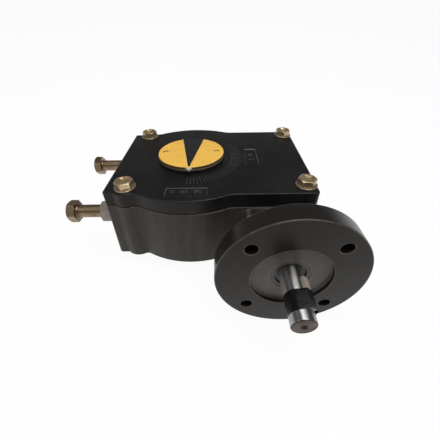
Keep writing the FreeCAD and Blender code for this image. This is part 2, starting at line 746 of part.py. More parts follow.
def make_indicator():
    screw_places = [f"{side} * indicator_screw_distance" for side in FRONT_AND_BACK]
    base_radius = "indicator_radius - indicator_base_inset"
    disc = solid("Cylinder", "base_disc", ("0", "0", "output_top"),
                 Radius=base_radius, Height="indicator_base_thickness")
    wedge_body = new_body("wedge_prism")
    wedge_height = "indicator_base_thickness + indicator_cap_thickness - wedge_sunk"
    pad(wedge_body, "wedge", wedge_points("-wedge_gap"), "output_top", wedge_height)
    wedge_limit = solid("Cylinder", "wedge_limit", ("0", "0", "output_top"),
                        Radius=base_radius, Height=wedge_height)
    wedge = combine("Common", "wedge_block", wedge_body, wedge_limit)
    base = combine("Fuse", "base_with_wedge", disc, wedge)
    for x in screw_places:
        hole = solid("Cylinder", "base_screw_hole", (x, "0", "output_top"),
                     Radius="indicator_screw_radius + fit_gap", Height="indicator_base_thickness")
        base = combine("Cut", "base_drilled", base, hole)
    finish(base, "indicator_base")

    cap = new_body("indicator_cap")
    feature(cap, "AdditiveCylinder", "disc", ("0", "0", "indicator_cap_base"),
            Radius="indicator_radius", Height="indicator_cap_thickness")
    pointer = [
        ("0", "-indicator_radius - pointer_reach"),
        ("pointer_width / 2", "-indicator_radius"),
        ("0", "-wedge_apex"),
        ("-pointer_width / 2", "-indicator_radius"),
    ]
    pad(cap, "pointer", pointer, "indicator_cap_base", "indicator_cap_thickness")
    window = outline_sketch(cap, "window_outline", wedge_points("0"), "XY_Plane", "indicator_top")
    pocket_down(cap, "window", window, "indicator_cap_thickness")
    for x in screw_places:
        feature(cap, "SubtractiveCylinder", "screw_hole", (x, "0", "indicator_cap_base"),
                Radius="indicator_screw_radius + fit_gap", Height="indicator_cap_thickness")
        feature(cap, "SubtractiveCylinder", "screw_seat", (x, "0", "indicator_top - indicator_screw_head"),
                Radius="indicator_screw_head_radius + fit_gap", Height="indicator_screw_head")
    finish(cap, "indicator_cap")

    screws = []
    for x in screw_places:
        head = solid("Cylinder", "screw_head", (x, "0", "indicator_top - indicator_screw_head"),
                     Radius="indicator_screw_head_radius", Height="indicator_screw_head")
        shank = solid("Cylinder", "screw_shank", (x, "0", "indicator_top - indicator_screw_length"),
                      Radius="indicator_screw_radius", Height="indicator_screw_length")
        screws.append(combine("Fuse", "indicator_screw", head, shank))
    group("indicator_screws", screws)


# Input side

def shaft_turn():
    """Worm axis towards the front, turned so that the key stands at its clock angle."""
    return TOWARDS_FRONT.multiply(FreeCAD.Rotation(FreeCAD.Vector(0, 0, 1), value("key_clock")))


def make_worm_shaft():
    body = new_body("worm_shaft")
    hole_depth = "sqrt(3) * centre_hole_radius"
    revolve(body, "shaft", [
        ("0", "-shaft_rear"),
        ("shaft_radius - shaft_chamfer", "-shaft_rear"),
        ("shaft_radius", "-shaft_rear + shaft_chamfer"),
        ("shaft_radius", "-bearing_inside"),
        ("worm_root_radius", "-bearing_inside"),
        ("worm_root_radius", "bearing_inside"),
        ("shaft_radius", "bearing_inside"),
        ("shaft_radius", "shaft_front - shaft_chamfer"),
        ("shaft_radius - shaft_chamfer", "shaft_front"),
        ("centre_hole_radius", "shaft_front"),
        ("0", f"shaft_front - {hole_depth}"),
    ])
    inner = "worm_root_radius - gear_module / 4"
    thick = "worm_lead / 4 - tooth_backlash"
    at_inner = f"{thick} + (worm_pitch_radius - ({inner})) * tan(flank_angle)"
    at_tip = f"{thick} - gear_module * tan(flank_angle)"
    start = "-worm_half_length"
    thread_outline = outline_sketch(body, "thread_outline", [
        (f"-({inner})", f"{start} - ({at_inner})"),
        (f"-({inner})", f"{start} + ({at_inner})"),
        ("-worm_tip_radius", f"{start} + ({at_tip})"),
        ("-worm_tip_radius", f"{start} - ({at_tip})"),
    ])
    doc.recompute()
    thread = body.newObject("PartDesign::AdditiveHelix", "worm_thread")
    thread.Profile = thread_outline
    thread.ReferenceAxis = (thread_outline, ["V_Axis"])
    thread.Mode = "pitch-height-angle"
    bind(thread, {"Pitch": "worm_lead", "Height": "2 * worm_half_length"})
    feature(body, "SubtractiveBox", "keyway", ("key_floor", "-key_width / 2", "flange_face + key_start"),
            Length="key_height", Width="key_width", Height="key_length")
    place(body, WORM_AXIS, shaft_turn())
    finish(body, "worm_shaft")


def make_input_key():
    key = new_body("input_key")
    feature(key, "AdditiveBox", "key",
            ("key_floor", "-key_width / 2 + fit_gap", "flange_face + key_start + fit_gap"),
            Length="key_height", Width="key_width - 2 * fit_gap", Height="key_length - 2 * fit_gap")
    place(key, WORM_AXIS, shaft_turn())
    finish(key, "input_key")


def hull_prism(grow):
    """Shaft and key in one taut outline, grown outwards, as long as the tape is wide."""
    radius = value("shaft_radius") + grow
    reach = value("key_top") + grow
    half_width = value("key_width") / 2 + grow
    corner_distance = math.hypot(reach, half_width)
    tangent = math.atan2(half_width, reach) + math.acos(radius / corner_distance)
    bottom = value("flange_face + tape_start")
    length = value("tape_length")
    touch = (radius * math.cos(tangent), radius * math.sin(tangent))
    corners = [(0, 0), (touch[0], -touch[1]), (reach, -half_width), (reach, half_width), touch, (0, 0)]
    face = Part.Face(Part.makePolygon([FreeCAD.Vector(x, y, bottom) for x, y in corners]))
    tent = face.extrude(FreeCAD.Vector(0, 0, length))
    barrel = Part.makeCylinder(radius, length, FreeCAD.Vector(0, 0, bottom))
    return barrel.fuse(tent).removeSplitter()


def make_key_tape():
    gap = value("running_gap")
    tape = doc.addObject("Part::Feature", "key_tape")
    tape.Shape = hull_prism(gap + value("tape_thickness")).cut(hull_prism(gap))
    place(tape, WORM_AXIS, shaft_turn())
    finish(tape, "key_tape")


def make_bearing(name, inner_face, outer_face):
    """A roller bearing between two distances along the worm axis."""
    ring(f"{name}_outer_ring", "bearing_radius - bearing_ring", "bearing_radius", inner_face, outer_face,
         WORM_AXIS, TOWARDS_FRONT)
    ring(f"{name}_inner_ring", "shaft_radius + fit_gap", "shaft_radius + bearing_ring",
         inner_face, outer_face, WORM_AXIS, TOWARDS_FRONT)
    count = int(round(value("roller_count")))
    rollers = []
    for number in range(count):
        angle = f"{number} * 360 / {count}"
        spot = (f"roller_circle_radius * cos({angle})", f"roller_circle_radius * sin({angle})",
                f"({inner_face} + {outer_face} - roller_length) / 2")
        rollers.append(solid("Cylinder", "roller", spot, Radius="roller_radius", Height="roller_length"))
    group(f"{name}_rollers", rollers, WORM_AXIS, TOWARDS_FRONT)


# Travel stops

def make_stop_bolt(name, side, reach):
    """A long bolt whose tip limits the quadrant's travel."""
    outward = FreeCAD.Rotation(FreeCAD.Vector(0, 1, 0), -90)
    bolt = hex_bolt(name, "stop_bolt_radius", "stop_bolt_flats", "stop_bolt_head", "stop_bolt_length",
                    (f"-left_reach - {reach}", f"{side} * stop_half_spacing", "stop_z"), outward)
    finish(bolt, name)


def make_stop_nuts():
    outward = FreeCAD.Rotation(FreeCAD.Vector(0, 1, 0), -90)
    washers = []
    nuts = []
    for side in FRONT_AND_BACK:
        y = f"{side} * stop_half_spacing"
        hole_radius = "stop_bolt_radius + running_gap"
        plate = solid("Cylinder", "stop_washer_plate",
                      Radius="stop_washer_radius", Height="stop_washer_thickness")
        plate_hole = solid("Cylinder", "stop_washer_hole",
                           Radius=hole_radius, Height="stop_washer_thickness")
        washer = combine("Cut", "stop_washer", plate, plate_hole)
        place(washer, ("-left_reach", y, "stop_z"), outward)
        washers.append(washer)
        block = hex_block("lock_nut", "stop_bolt_flats", "lock_nut_height")
        nut_hole = solid("Cylinder", "lock_nut_hole", Radius=hole_radius, Height="lock_nut_height")
        nut = combine("Cut", "lock_nut", block, nut_hole)
        place(nut, ("-left_reach - stop_washer_thickness", y, "stop_z"), outward)
        nuts.append(nut)
    group("stop_seal_washers", washers)
    group("stop_lock_nuts", nuts)


make_housing()
make_cover_gasket()
make_cover()
make_cover_bolts()
make_input_flange()
make_foot_bolts("input_flange_bolts", "foot_thickness", "foot_front", 1)
make_rear_cap()
make_foot_bolts("rear_cap_bolts", "rear_cap_thickness", "-half_depth - rear_cap_thickness", -1)
ring("input_seal", "shaft_radius + stop_gap", "seal_radius",
     "recess_floor - seal_sunk - seal_thickness", "recess_floor - seal_sunk", WORM_AXIS, TOWARDS_FRONT)
make_bearing("front_bearing", "bearing_inside", "bearing_outside")
make_bearing("rear_bearing", "-bearing_outside", "-bearing_inside")
make_stop_nuts()
ring("lower_bush", "lower_journal_radius + running_gap", "lower_bush_radius",
     "seal_lip + o_ring_space", "floor_thickness")
ring("upper_bush", "upper_journal_radius + running_gap", "upper_bush_radius",
     "cover_base", "cover_top - seal_lip - o_ring_space")
ring("thrust_washer", "lower_journal_radius + lip_gap", "hub_radius",
     "floor_thickness", "floor_thickness + thrust_washer_thickness")
o_ring("lower_o_ring", "(lower_journal_radius + stop_gap)", "lower_bush_radius",
       "seal_lip + o_ring_space / 2")
o_ring("upper_o_ring", "(upper_journal_radius + stop_gap)", "upper_bush_radius",
       "cover_top - seal_lip - o_ring_space / 2")
make_quadrant()
make_drive_sleeve()
make_sleeve_key()
make_indicator()
make_worm_shaft()
make_input_key()
make_key_tape()
make_stop_bolt("stop_bolt_front", -1, "front_stop_reach")
make_stop_bolt("stop_bolt_rear", 1, "rear_stop_reach")

doc.recompute()
for item in doc.Objects:
    if "Invalid" in item.State or "Error" in item.State:
        raise RuntimeError(f"{item.Label} did not rebuild: {item.State}")
for node in nodes:
    if node.Shape.isNull() or not node.Shape.isValid() or not node.Shape.Solids:
        raise RuntimeError(f"{node.Label} is not a valid solid")

os.makedirs("parts", exist_ok=True)
for node in nodes:
    node.Shape.exportStep(f"parts/{node.Label}.step")
    print(f"{node.Label}: {len(node.Shape.Solids)} solids, {node.Shape.Volume:.0f} mm3")
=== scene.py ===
from math import acos, asin, atan2, cos, hypot, pi, radians, sin, sqrt, tan

import bmesh
import bpy
from mathutils import Matrix, Vector


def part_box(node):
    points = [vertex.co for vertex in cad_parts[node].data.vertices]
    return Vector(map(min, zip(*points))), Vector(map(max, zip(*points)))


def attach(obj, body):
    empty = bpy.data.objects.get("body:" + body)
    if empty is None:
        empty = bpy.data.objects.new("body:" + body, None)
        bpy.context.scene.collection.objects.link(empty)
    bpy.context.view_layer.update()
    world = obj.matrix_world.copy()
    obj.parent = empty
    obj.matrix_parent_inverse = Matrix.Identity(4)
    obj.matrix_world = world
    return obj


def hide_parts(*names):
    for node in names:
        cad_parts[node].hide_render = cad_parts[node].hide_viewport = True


# Quarter-turn worm gearbox for a valve: castings, fasteners, position indicator and input shaft.
# Metres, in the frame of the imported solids: valve face at z = 0, worm towards +X, shaft towards -Y.

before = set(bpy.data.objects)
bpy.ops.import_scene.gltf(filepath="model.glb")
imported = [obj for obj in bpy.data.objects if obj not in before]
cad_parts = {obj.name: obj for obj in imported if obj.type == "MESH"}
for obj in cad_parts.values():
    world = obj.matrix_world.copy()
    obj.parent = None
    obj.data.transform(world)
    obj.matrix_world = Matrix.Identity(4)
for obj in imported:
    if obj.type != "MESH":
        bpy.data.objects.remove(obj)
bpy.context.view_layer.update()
scene = bpy.context.scene

MM = 0.001
FULL_TURN = 2 * pi
HALF_TURN = pi
QUARTER_TURN = pi / 2
EIGHTH_TURN = pi / 4


def at(x, y, z):
    return Matrix.Translation((x, y, z))


def spun(angle, axis="Z"):
    return Matrix.Rotation(angle, 4, axis)


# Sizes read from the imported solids

base_low, base_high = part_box("housing")
lid_low, lid_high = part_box("cover")
gasket_low, gasket_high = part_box("cover_gasket")
washer_low, washer_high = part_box("cover_washers")
lid_bolt_low, lid_bolt_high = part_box("cover_bolts")
flange_low, flange_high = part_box("input_flange")
foot_bolt_low, foot_bolt_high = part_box("input_flange_bolts")
cap_low, cap_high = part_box("rear_cap")
cap_bolt_low, cap_bolt_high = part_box("rear_cap_bolts")
seal_low, seal_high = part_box("input_seal")
shaft_low, shaft_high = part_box("worm_shaft")
key_low, key_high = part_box("input_key")
tape_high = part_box("key_tape")[1]
nut_low, nut_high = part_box("stop_lock_nuts")
stop_seal_low, stop_seal_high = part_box("stop_seal_washers")
disc_low, disc_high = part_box("indicator_base")
dial_low, dial_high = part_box("indicator_cap")

# Sizes that the solids share but their boxes don't show

block_half_depth = 75.4 * MM
pad_half_depth = 70.0 * MM
pad_chamfer = 1.5 * MM
block_corner = 4.0 * MM
boss_radius = 13.0 * MM
washer_radius = 10.5 * MM
washer_hole_radius = 5.25 * MM
lid_bolt_radius = 5.0 * MM
seam_ledge = 0.3 * MM
journal_radius = 36.4 * MM
bush_seat_radius = 39.02 * MM
lid_journal_radius = 33.4 * MM
lid_bush_radius = 36.02 * MM
journal_lip = 1.0 * MM
swing_room_radius = 79.5 * MM
swing_room_left = 34.0 * MM
hub_room_radius = 45.5 * MM
worm_bore_radius = 21.02 * MM
base_floor = 22.0 * MM
valve_bolt_circle = 70.0 * MM
valve_hole_radius = 8.0 * MM
valve_hole_depth = 16.0 * MM
valve_hole_cone = 2.9 * MM
flange_thickness = 19.5 * MM
flange_bolt_circle = 51.0 * MM
flange_hole_radius = 5.5 * MM
recess_radius = 35.0 * MM
recess_depth = 4.2 * MM
neck_radius = 21.0 * MM
neck_bore_radius = 11.5 * MM
spigot_radius = 21.0 * MM
foot_half_width = 34.5 * MM
foot_half_height = 25.0 * MM
foot_thickness = 12.0 * MM
foot_corner = 4.0 * MM
foot_bolt_across = 27.5 * MM
foot_bolt_up = 9.5 * MM
foot_bolt_flats = 13.0 * MM
foot_bolt_radius = 4.0 * MM
stop_bolt_radius = 7.0 * MM
stop_flats = 21.0 * MM
stop_head = 8.8 * MM
stop_half_spacing = 51.5 * MM
shaft_radius = 10.0 * MM
key_clock = radians(48.0)
key_half_width = 3.0 * MM
key_height = 6.0 * MM
key_reach = 12.5 * MM
disc_radius = 37.2 * MM
dial_screw_distance = 29.0 * MM
dial_screw_radius = 3.2 * MM
dial_screw_head = 1.6 * MM

# Sizes taken from the photo, a little off those of the solids

lid_bolt_flats = 16.0 * MM
dial_inset = 1.4 * MM

# Places that follow from them

lid_floor = lid_low.z
lid_top = washer_low.z
left_bolt_x = washer_low.x + washer_radius
right_bolt_x = washer_high.x - washer_radius
lid_bolt_y = washer_high.y - washer_radius
worm_x = (flange_low.x + flange_high.x) / 2
worm_z = (flange_low.z + flange_high.z) / 2
flange_radius = (flange_high.x - flange_low.x) / 2
flange_face = -flange_low.y
flange_back = flange_face - flange_thickness
recess_floor = flange_face - recess_depth
seal_radius = seal_high.x - worm_x
foot_front = block_half_depth + foot_thickness
stop_z = (nut_low.z + nut_high.z) / 2
dial_radius = dial_high.x - dial_inset
lid_bolt_places = [(x, y) for x in (left_bolt_x, right_bolt_x) for y in (-lid_bolt_y, lid_bolt_y)]
foot_bolt_places = [(x, y) for x in (-foot_bolt_across, foot_bolt_across)
                    for y in (-foot_bolt_up, foot_bolt_up)]
dial_screw_places = [(-dial_screw_distance, 0.0), (dial_screw_distance, 0.0)]
UPRIGHT = spun(QUARTER_TURN, "X")
TO_FRONT = at(worm_x, 0, worm_z) @ spun(QUARTER_TURN, "X")
TO_BACK = at(worm_x, 0, worm_z) @ spun(-QUARTER_TURN, "X")
TO_LEFT = spun(-QUARTER_TURN, "Y")
KEY_TO_FRONT = TO_FRONT @ spun(key_clock)


# Drawing and joining

finest = 0.001 * MM
weld = 0.002 * MM
near = 0.01 * MM
flat_rim = 0.8 * MM
most_rim = 0.15
round_steps = 4
hole_segments = 32
shank_segments = 48
bore_segments = 64
disc_segments = 96
flange_segments = 128


class Outline:
    """A line drawn point by point on a flat sheet."""

    def __init__(self, x, y, height=0.0):
        self.bm = bmesh.new()
        self.height = height
        self.tip = bmesh.ops.create_vert(self.bm, co=(x, y, height))["vert"][0]

    def line(self, *points):
        for x, y in points:
            self.tip = bmesh.ops.extrude_vert_indiv(self.bm, verts=[self.tip])["verts"][0]
            self.tip.co = (x, y, self.height)

    def arc(self, x, y, turn, steps):
        """Swings the tip about (x, y), to the left for a positive turn."""
        swung = bmesh.ops.spin(self.bm, geom=[self.tip], cent=(x, y, self.height), axis=(0, 0, 1),
                               dvec=(0, 0, 0), angle=turn, steps=steps)
        self.tip = [item for item in swung["geom_last"] if isinstance(item, bmesh.types.BMVert)][0]

    def mirrored(self, axis):
        """The closed outline that this half makes with its mirror image."""
        bmesh.ops.mirror(self.bm, geom=self.bm.verts[:] + self.bm.edges[:], matrix=Matrix(), merge_dist=near,
                         axis=axis)
        return self.bm


def swept(start, end):
    """The left turn from one direction to another."""
    return (end - start) % FULL_TURN


def edges_of(verts):
    return list(dict.fromkeys(edge for vert in verts for edge in vert.link_edges))


def verts_of(edges):
    return list(dict.fromkeys(vert for edge in edges for vert in edge.verts))


def middle_of(verts):
    return sum((vert.co for vert in verts), Vector()) / len(verts)


def join(bm, other, place=Matrix()):
    """Adds another mesh to bm and returns its vertices there."""
    sheet = bpy.data.meshes.new("sheet")
    other.to_mesh(sheet)
    other.free()
    sheet.transform(place)
    count = len(bm.verts)
    bm.from_mesh(sheet)
    bpy.data.meshes.remove(sheet)
    bm.verts.ensure_lookup_table()
    return bm.verts[count:]


def skin(bm, outlines):
    """Stretches a skin through closed outlines with equal numbers of points, and returns the end loops."""
    loops = [edges_of(join(bm, outline)) for outline in outlines]
    for lower, upper in zip(loops, loops[1:]):
        bmesh.ops.bridge_loops(bm, edges=lower + upper)
    return loops[0], loops[-1]


def pull(bm, loop, rise=0.0, scale=1.0):
    """Draws a wall from a loop, and returns its far loop, scaled about its own middle and raised."""
    grown = bmesh.ops.extrude_edge_only(bm, edges=loop)["geom"]
    verts = [item for item in grown if isinstance(item, bmesh.types.BMVert)]
    bmesh.ops.scale(bm, vec=(scale,) * 3, space=Matrix.Translation(-middle_of(verts)), verts=verts)
    bmesh.ops.translate(bm, vec=(0, 0, rise), verts=verts)
    far = set(verts)
    return [item for item in grown
            if isinstance(item, bmesh.types.BMEdge) and far.issuperset(item.verts)]


def fill(bm, outer, *holes, rim=flat_rim):
    """Closes the flat area between an outer loop and its holes, with a narrow flat ring beside each loop."""
    loops = []
    for loop, side in [(outer, -1)] + [(hole, 1) for hole in holes]:
        if rim:
            verts = verts_of(loop)
            middle = middle_of(verts)
            radius = sum((vert.co - middle).length for vert in verts) / len(verts)
            loop = pull(bm, loop, scale=1 + side * min(rim / radius, most_rim))
        loops += loop
    bmesh.ops.triangle_fill(bm, use_beauty=True, edges=loops)


def bisect(bm, point, normal):
    """Adds a ring of edges where a plane crosses a mesh."""
    bmesh.ops.bisect_plane(bm, geom=bm.verts[:] + bm.edges[:] + bm.faces[:], dist=finest, plane_co=point,
                           plane_no=normal)


def score(bm, *heights):
    """Adds rings of edges at some heights, so that the wear of an edge stays beside it."""
    for height in heights:
        bisect(bm, (0, 0, height), (0, 0, 1))


def circle_loop(bm, radius, segments, place=Matrix()):
    made = bmesh.ops.create_circle(bm, cap_ends=False, radius=radius, segments=segments, matrix=place)
    return edges_of(made["verts"])


def four_around(radius, height):
    """Four places on a circle, midway between the axes."""
    bearings = [QUARTER_TURN * (number + 0.5) for number in range(4)]
    return [at(radius * cos(bearing), radius * sin(bearing), height) for bearing in bearings]


def quarter_round():
    """The angles of a rounded edge."""
    return [QUARTER_TURN * step / round_steps for step in range(round_steps + 1)]


def turned(profile, steps):
    """A full turn of a profile of radius and height, about the upright axis."""
    bm = profile.bm
    bmesh.ops.transform(bm, matrix=UPRIGHT, verts=bm.verts)
    bmesh.ops.spin(bm, geom=bm.verts[:] + bm.edges[:], cent=(0, 0, 0), axis=(0, 0, 1), dvec=(0, 0, 0),
                   angle=FULL_TURN, steps=steps, use_merge=True)
    bmesh.ops.remove_doubles(bm, verts=bm.verts, dist=finest)
    return bm


def wound(profile, step_rise, turn, steps):
    """A thread wound from a profile of radius and height, closed at both ends."""
    bm = profile.bm
    bmesh.ops.transform(bm, matrix=UPRIGHT, verts=bm.verts)
    bmesh.ops.spin(bm, geom=bm.verts[:] + bm.edges[:], cent=(0, 0, 0), axis=(0, 0, 1), dvec=(0, 0, step_rise),
                   angle=turn, steps=steps)
    bmesh.ops.remove_doubles(bm, verts=bm.verts, dist=near)
    bmesh.ops.holes_fill(bm, edges=[edge for edge in bm.edges if edge.is_boundary])
    return bm


def rim_loop(bm, height, radius):
    """The loop of a turned shape at one height and radius."""
    ring = [vert for vert in bm.verts
            if abs(vert.co.z - height) < near and abs(vert.co.xy.length - radius) < near]
    ring_set = set(ring)
    return [edge for edge in edges_of(ring) if ring_set.issuperset(edge.verts)]


def round_edges(bm, edges, width, segments=3):
    bmesh.ops.bevel(bm, geom=edges, offset=width, offset_type="OFFSET", affect="EDGES", segments=segments,
                    profile=0.5, material=-1, clamp_overlap=True)


def new_object(bm, name):
    """Makes a mesh into an object of the scene."""
    mesh = bpy.data.meshes.new(name)
    bm.to_mesh(mesh)
    bm.free()
    made = bpy.data.objects.new(name, mesh)
    scene.collection.objects.link(made)
    return made


SHARP_ANGLE = radians(32)


def finish_piece(bm, name, body, finish, replaced=(), place=Matrix()):
    """Closes a mesh, puts it in place and hangs it on its body."""
    bmesh.ops.transform(bm, matrix=place, verts=bm.verts)
    bmesh.ops.remove_doubles(bm, verts=bm.verts, dist=weld)
    bmesh.ops.dissolve_degenerate(bm, dist=finest, edges=bm.edges)
    bmesh.ops.triangulate(bm, faces=[face for face in bm.faces if len(face.verts) > 4])
    bmesh.ops.recalc_face_normals(bm, faces=bm.faces)
    if bm.calc_volume(signed=True) < 0:
        bmesh.ops.reverse_faces(bm, faces=bm.faces)
    for face in bm.faces:
        face.smooth = True
    for edge in bm.edges:
        edge.smooth = edge.calc_face_angle(0) < SHARP_ANGLE
    piece = new_object(bm, name)
    piece.data.materials.append(finish)
    piece.modifiers.new("even_normals", "WEIGHTED_NORMAL").keep_sharp = True
    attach(piece, body)
    if replaced:
        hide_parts(*replaced)


# Finishes

node_spacing = 200
row_end = 3000


def feed(tree, value, socket):
    """Links a socket to another, or sets its value."""
    if isinstance(value, bpy.types.NodeSocket):
        tree.links.new(value, socket)
    elif socket.type == "RGBA":
        socket.default_value = (*value, 1.0)
    else:
        socket.default_value = value


def node(tree, kind, **settings):
    """Adds a shader node to a row. Its settings are its properties, or values or links for its sockets."""
    made = tree.nodes.new("ShaderNode" + kind)
    made.location.x = node_spacing * len(tree.nodes)
    for name, setting in settings.items():
        socket = made.inputs.get(name.replace("_", " "))
        if socket:
            feed(tree, setting, socket)
        else:
            setattr(made, name, setting)
    return made


def reckon(tree, operation, first, second):
    made = node(tree, "Math", operation=operation)
    feed(tree, first, made.inputs[0])
    feed(tree, second, made.inputs[1])
    return made.outputs["Value"]


def ranged(tree, value, start, end, **results):
    """Takes a range of values to 0 and 1, or to the results that are given."""
    made = node(tree, "MapRange", Value=value, From_Min=start, From_Max=end, **results)
    return made.outputs["Result"]


def place_in(tree, label="Object"):
    return node(tree, "TexCoord").outputs[label]


def mapped(tree, place, **settings):
    return node(tree, "Mapping", Vector=place, **settings).outputs["Vector"]


def noise(tree, place, **settings):
    return node(tree, "TexNoise", Vector=place, **settings).outputs["Fac"]


def new_group(name, outputs, **inputs):
    """An empty group, with what it is given and what it gives."""
    group = bpy.data.node_groups.new(name, "ShaderNodeTree")
    for label, value in inputs.items():
        socket = group.interface.new_socket(label.replace("_", " "), in_out="INPUT",
                                            socket_type="NodeSocketFloat")
        socket.default_value = value
    for label in outputs:
        group.interface.new_socket(label, in_out="OUTPUT", socket_type="NodeSocketFloat")
    given, out = group.nodes.new("NodeGroupInput"), group.nodes.new("NodeGroupOutput")
    out.location.x = row_end
    return group, given.outputs, out.inputs


def make_cast_skin():
    """Sand-cast skin under paint: broad tone, run marks that go down the walls, and a fine pimple."""
    group, _, out = new_group("cast_skin", ("Tone", "Streak", "Grain"))
    place = place_in(group)
    drawn_down = mapped(group, place, Scale=(1.0, 1.0, 0.09))
    tone = noise(group, place, Scale=18.0, Detail=4.0, Roughness=0.6)
    streak = noise(group, drawn_down, Scale=140.0, Detail=5.0, Roughness=0.65)
    grain = noise(group, place, Scale=900.0, Detail=3.0, Roughness=0.55)
    for label, marks in (("Tone", tone), ("Streak", streak), ("Grain", grain)):
        feed(group, ranged(group, marks, start=0.3, end=0.7), out[label])
    return group


def make_edge_sheen_and_shade():
    """Outer edges, rubbed by handling and also given a painted highlight, and hollows, given painted shade.
    """
    group, given, out = new_group("edge_sheen_and_shade", ("Rub", "Hollow"), Threshold=0.53, Width=0.06)
    pointiness = node(group, "NewGeometry").outputs["Pointiness"]
    chips = noise(group, place_in(group), Scale=160.0, Detail=4.0, Roughness=0.7)
    full = reckon(group, "ADD", given["Threshold"], given["Width"])
    edge = ranged(group, pointiness, given["Threshold"], full)
    # Edge mask: partly wear, partly painted highlight.
    feed(group, reckon(group, "MULTIPLY", edge, chips), out["Rub"])
    # Hollow mask: painted shade in hollows.
    feed(group, ranged(group, pointiness, start=0.49, end=0.43), out["Hollow"])
    return group


def make_mottle():
    """Uneven plating or staining: soft patches and small specks."""
    group, given, out = new_group("mottle", ("Patch", "Speck"), Patch_Scale=90.0, Speck_Scale=900.0)
    place = place_in(group)
    patch = noise(group, place, Scale=given["Patch Scale"], Detail=5.0, Roughness=0.6, Distortion=0.6)
    speck = noise(group, place, Scale=given["Speck Scale"], Detail=2.0, Roughness=0.5)
    for label, marks in (("Patch", patch), ("Speck", speck)):
        feed(group, ranged(group, marks, start=0.32, end=0.68), out[label])
    return group


def make_lathe_marks():
    """Fine rings left by turning, along the worm axis."""
    group, _, out = new_group("lathe_marks", ("Rings",))
    around = mapped(group, place_in(group), Scale=(0.02, 1.0, 0.02))
    feed(group, noise(group, around, Scale=2600.0, Detail=3.0, Roughness=0.6), out["Rings"])
    return group


def make_facing():
    """Which surfaces face up, and which face the front."""
    group, given, out = new_group("facing", ("Upward", "Frontward"), Start=0.35, End=0.8)
    lean = node(group, "SeparateXYZ", Vector=place_in(group, "Normal")).outputs
    forward = reckon(group, "MULTIPLY", lean["Y"], -1.0)
    for label, value in (("Upward", lean["Z"]), ("Frontward", forward)):
        feed(group, ranged(group, value, given["Start"], given["End"]), out[label])
    return group


recess_blur = 0.5 * MM


def make_near_axis():
    """What lies within the recess's radius of the worm axis."""
    group, _, out = new_group("near_axis", ("Inside",))
    across = mapped(group, place_in(group), Location=(-worm_x, 0, -worm_z), Scale=(1, 0, 1))
    distance = node(group, "VectorMath", operation="LENGTH", Vector=across).outputs["Value"]
    inside = ranged(group, distance, recess_radius, recess_radius + recess_blur, To_Min=1.0, To_Max=0.0)
    feed(group, inside, out["Inside"])
    return group


cast_skin = make_cast_skin()
edge_sheen_and_shade = make_edge_sheen_and_shade()
mottle = make_mottle()
lathe_marks = make_lathe_marks()
facing = make_facing()
near_axis = make_near_axis()


def cleared_nodes(owner):
    """The node tree of a material or a world, emptied."""
    owner.use_nodes = True
    owner.node_tree.nodes.clear()
    return owner.node_tree


class Finish:
    """A material with its shader, and short ways to lay colours over each other."""

    def __init__(self, name, **shader_values):
        self.material = bpy.data.materials.new(name)
        self.tree = cleared_nodes(self.material)
        self.shader = node(self.tree, "BsdfPrincipled", **shader_values)
        node(self.tree, "OutputMaterial", Surface=self.shader.outputs["BSDF"])

    def group(self, tree, **values):
        return node(self.tree, "Group", node_tree=tree, **values).outputs

    def blend(self, factor, under, over):
        """Lays one colour over another by a varying factor."""
        mix = node(self.tree, "Mix", data_type="RGBA", Factor=factor, A=under, B=over)
        return mix.outputs["Result"]

    def spread(self, factor, low, high):
        """Takes a factor from 0 to 1 to a range of values."""
        return ranged(self.tree, factor, start=0.0, end=1.0, To_Min=low, To_Max=high)

    def lay(self, colour, roughness, height, strength, depth):
        """Links colour, roughness and a fine relief to the shader, and returns the material."""
        bump = node(self.tree, "Bump", Strength=strength, Distance=depth, Height=height)
        feed(self.tree, colour, self.shader.inputs["Base Color"])
        feed(self.tree, roughness, self.shader.inputs["Roughness"])
        feed(self.tree, bump.outputs["Normal"], self.shader.inputs["Normal"])
        return self.material


def make_paint(name, dark, pale, worn, edge, streaks, smooth, rough, relief, gloss, machined=None):
    """Black paint on a casting, browner where it has run, paler at its edges as wear and as painted
    highlight, and thin on machined faces.
    """
    finish = Finish(name, Specular_IOR_Level=gloss, Specular_Tint=(1.0, 0.94, 0.88))
    marks = finish.group(cast_skin)
    wear_and_painted_light = finish.group(edge_sheen_and_shade, Threshold=0.515)["Rub"]
    tone = finish.blend(marks["Tone"], dark, pale)
    if machined:
        front = finish.group(facing)["Frontward"]
        middle = finish.group(near_axis)["Inside"]
        tone = finish.blend(reckon(finish.tree, "MULTIPLY", front, middle), tone, machined)
    streaked = finish.blend(finish.spread(marks["Streak"], low=0.0, high=streaks), tone, worn)
    # Edge colour over the edge mask: worn paint and a painted highlight.
    return finish.lay(finish.blend(wear_and_painted_light, streaked, edge), finish.spread(marks["Tone"], smooth, rough),
                      marks["Grain"], strength=0.35, depth=relief)


def make_plating(name, bright, stain, speck, smooth, rough, relief=0.03 * MM, metallic=1.0):
    """Plated or bare metal, stained in patches, specked, brighter at its edges, and darkened in its hollows
    as painted shade.
    """
    finish = Finish(name, Metallic=metallic)
    marks = finish.group(mottle)
    wear_and_painted_light = finish.group(edge_sheen_and_shade, Threshold=0.55)
    patchy = finish.blend(marks["Patch"], bright, stain)
    spotted = finish.blend(finish.spread(marks["Speck"], low=0.0, high=0.35), patchy, speck)
    # Edges brightened: wear with a painted highlight.
    rubbed_and_sheened = finish.blend(wear_and_painted_light["Rub"], spotted, bright)
    # Hollows darkened with the speck colour: painted shade.
    hollow_shaded = finish.blend(wear_and_painted_light["Hollow"], rubbed_and_sheened, speck)
    return finish.lay(hollow_shaded, finish.spread(marks["Patch"], smooth, rough), marks["Speck"], strength=0.25,
                      depth=relief)


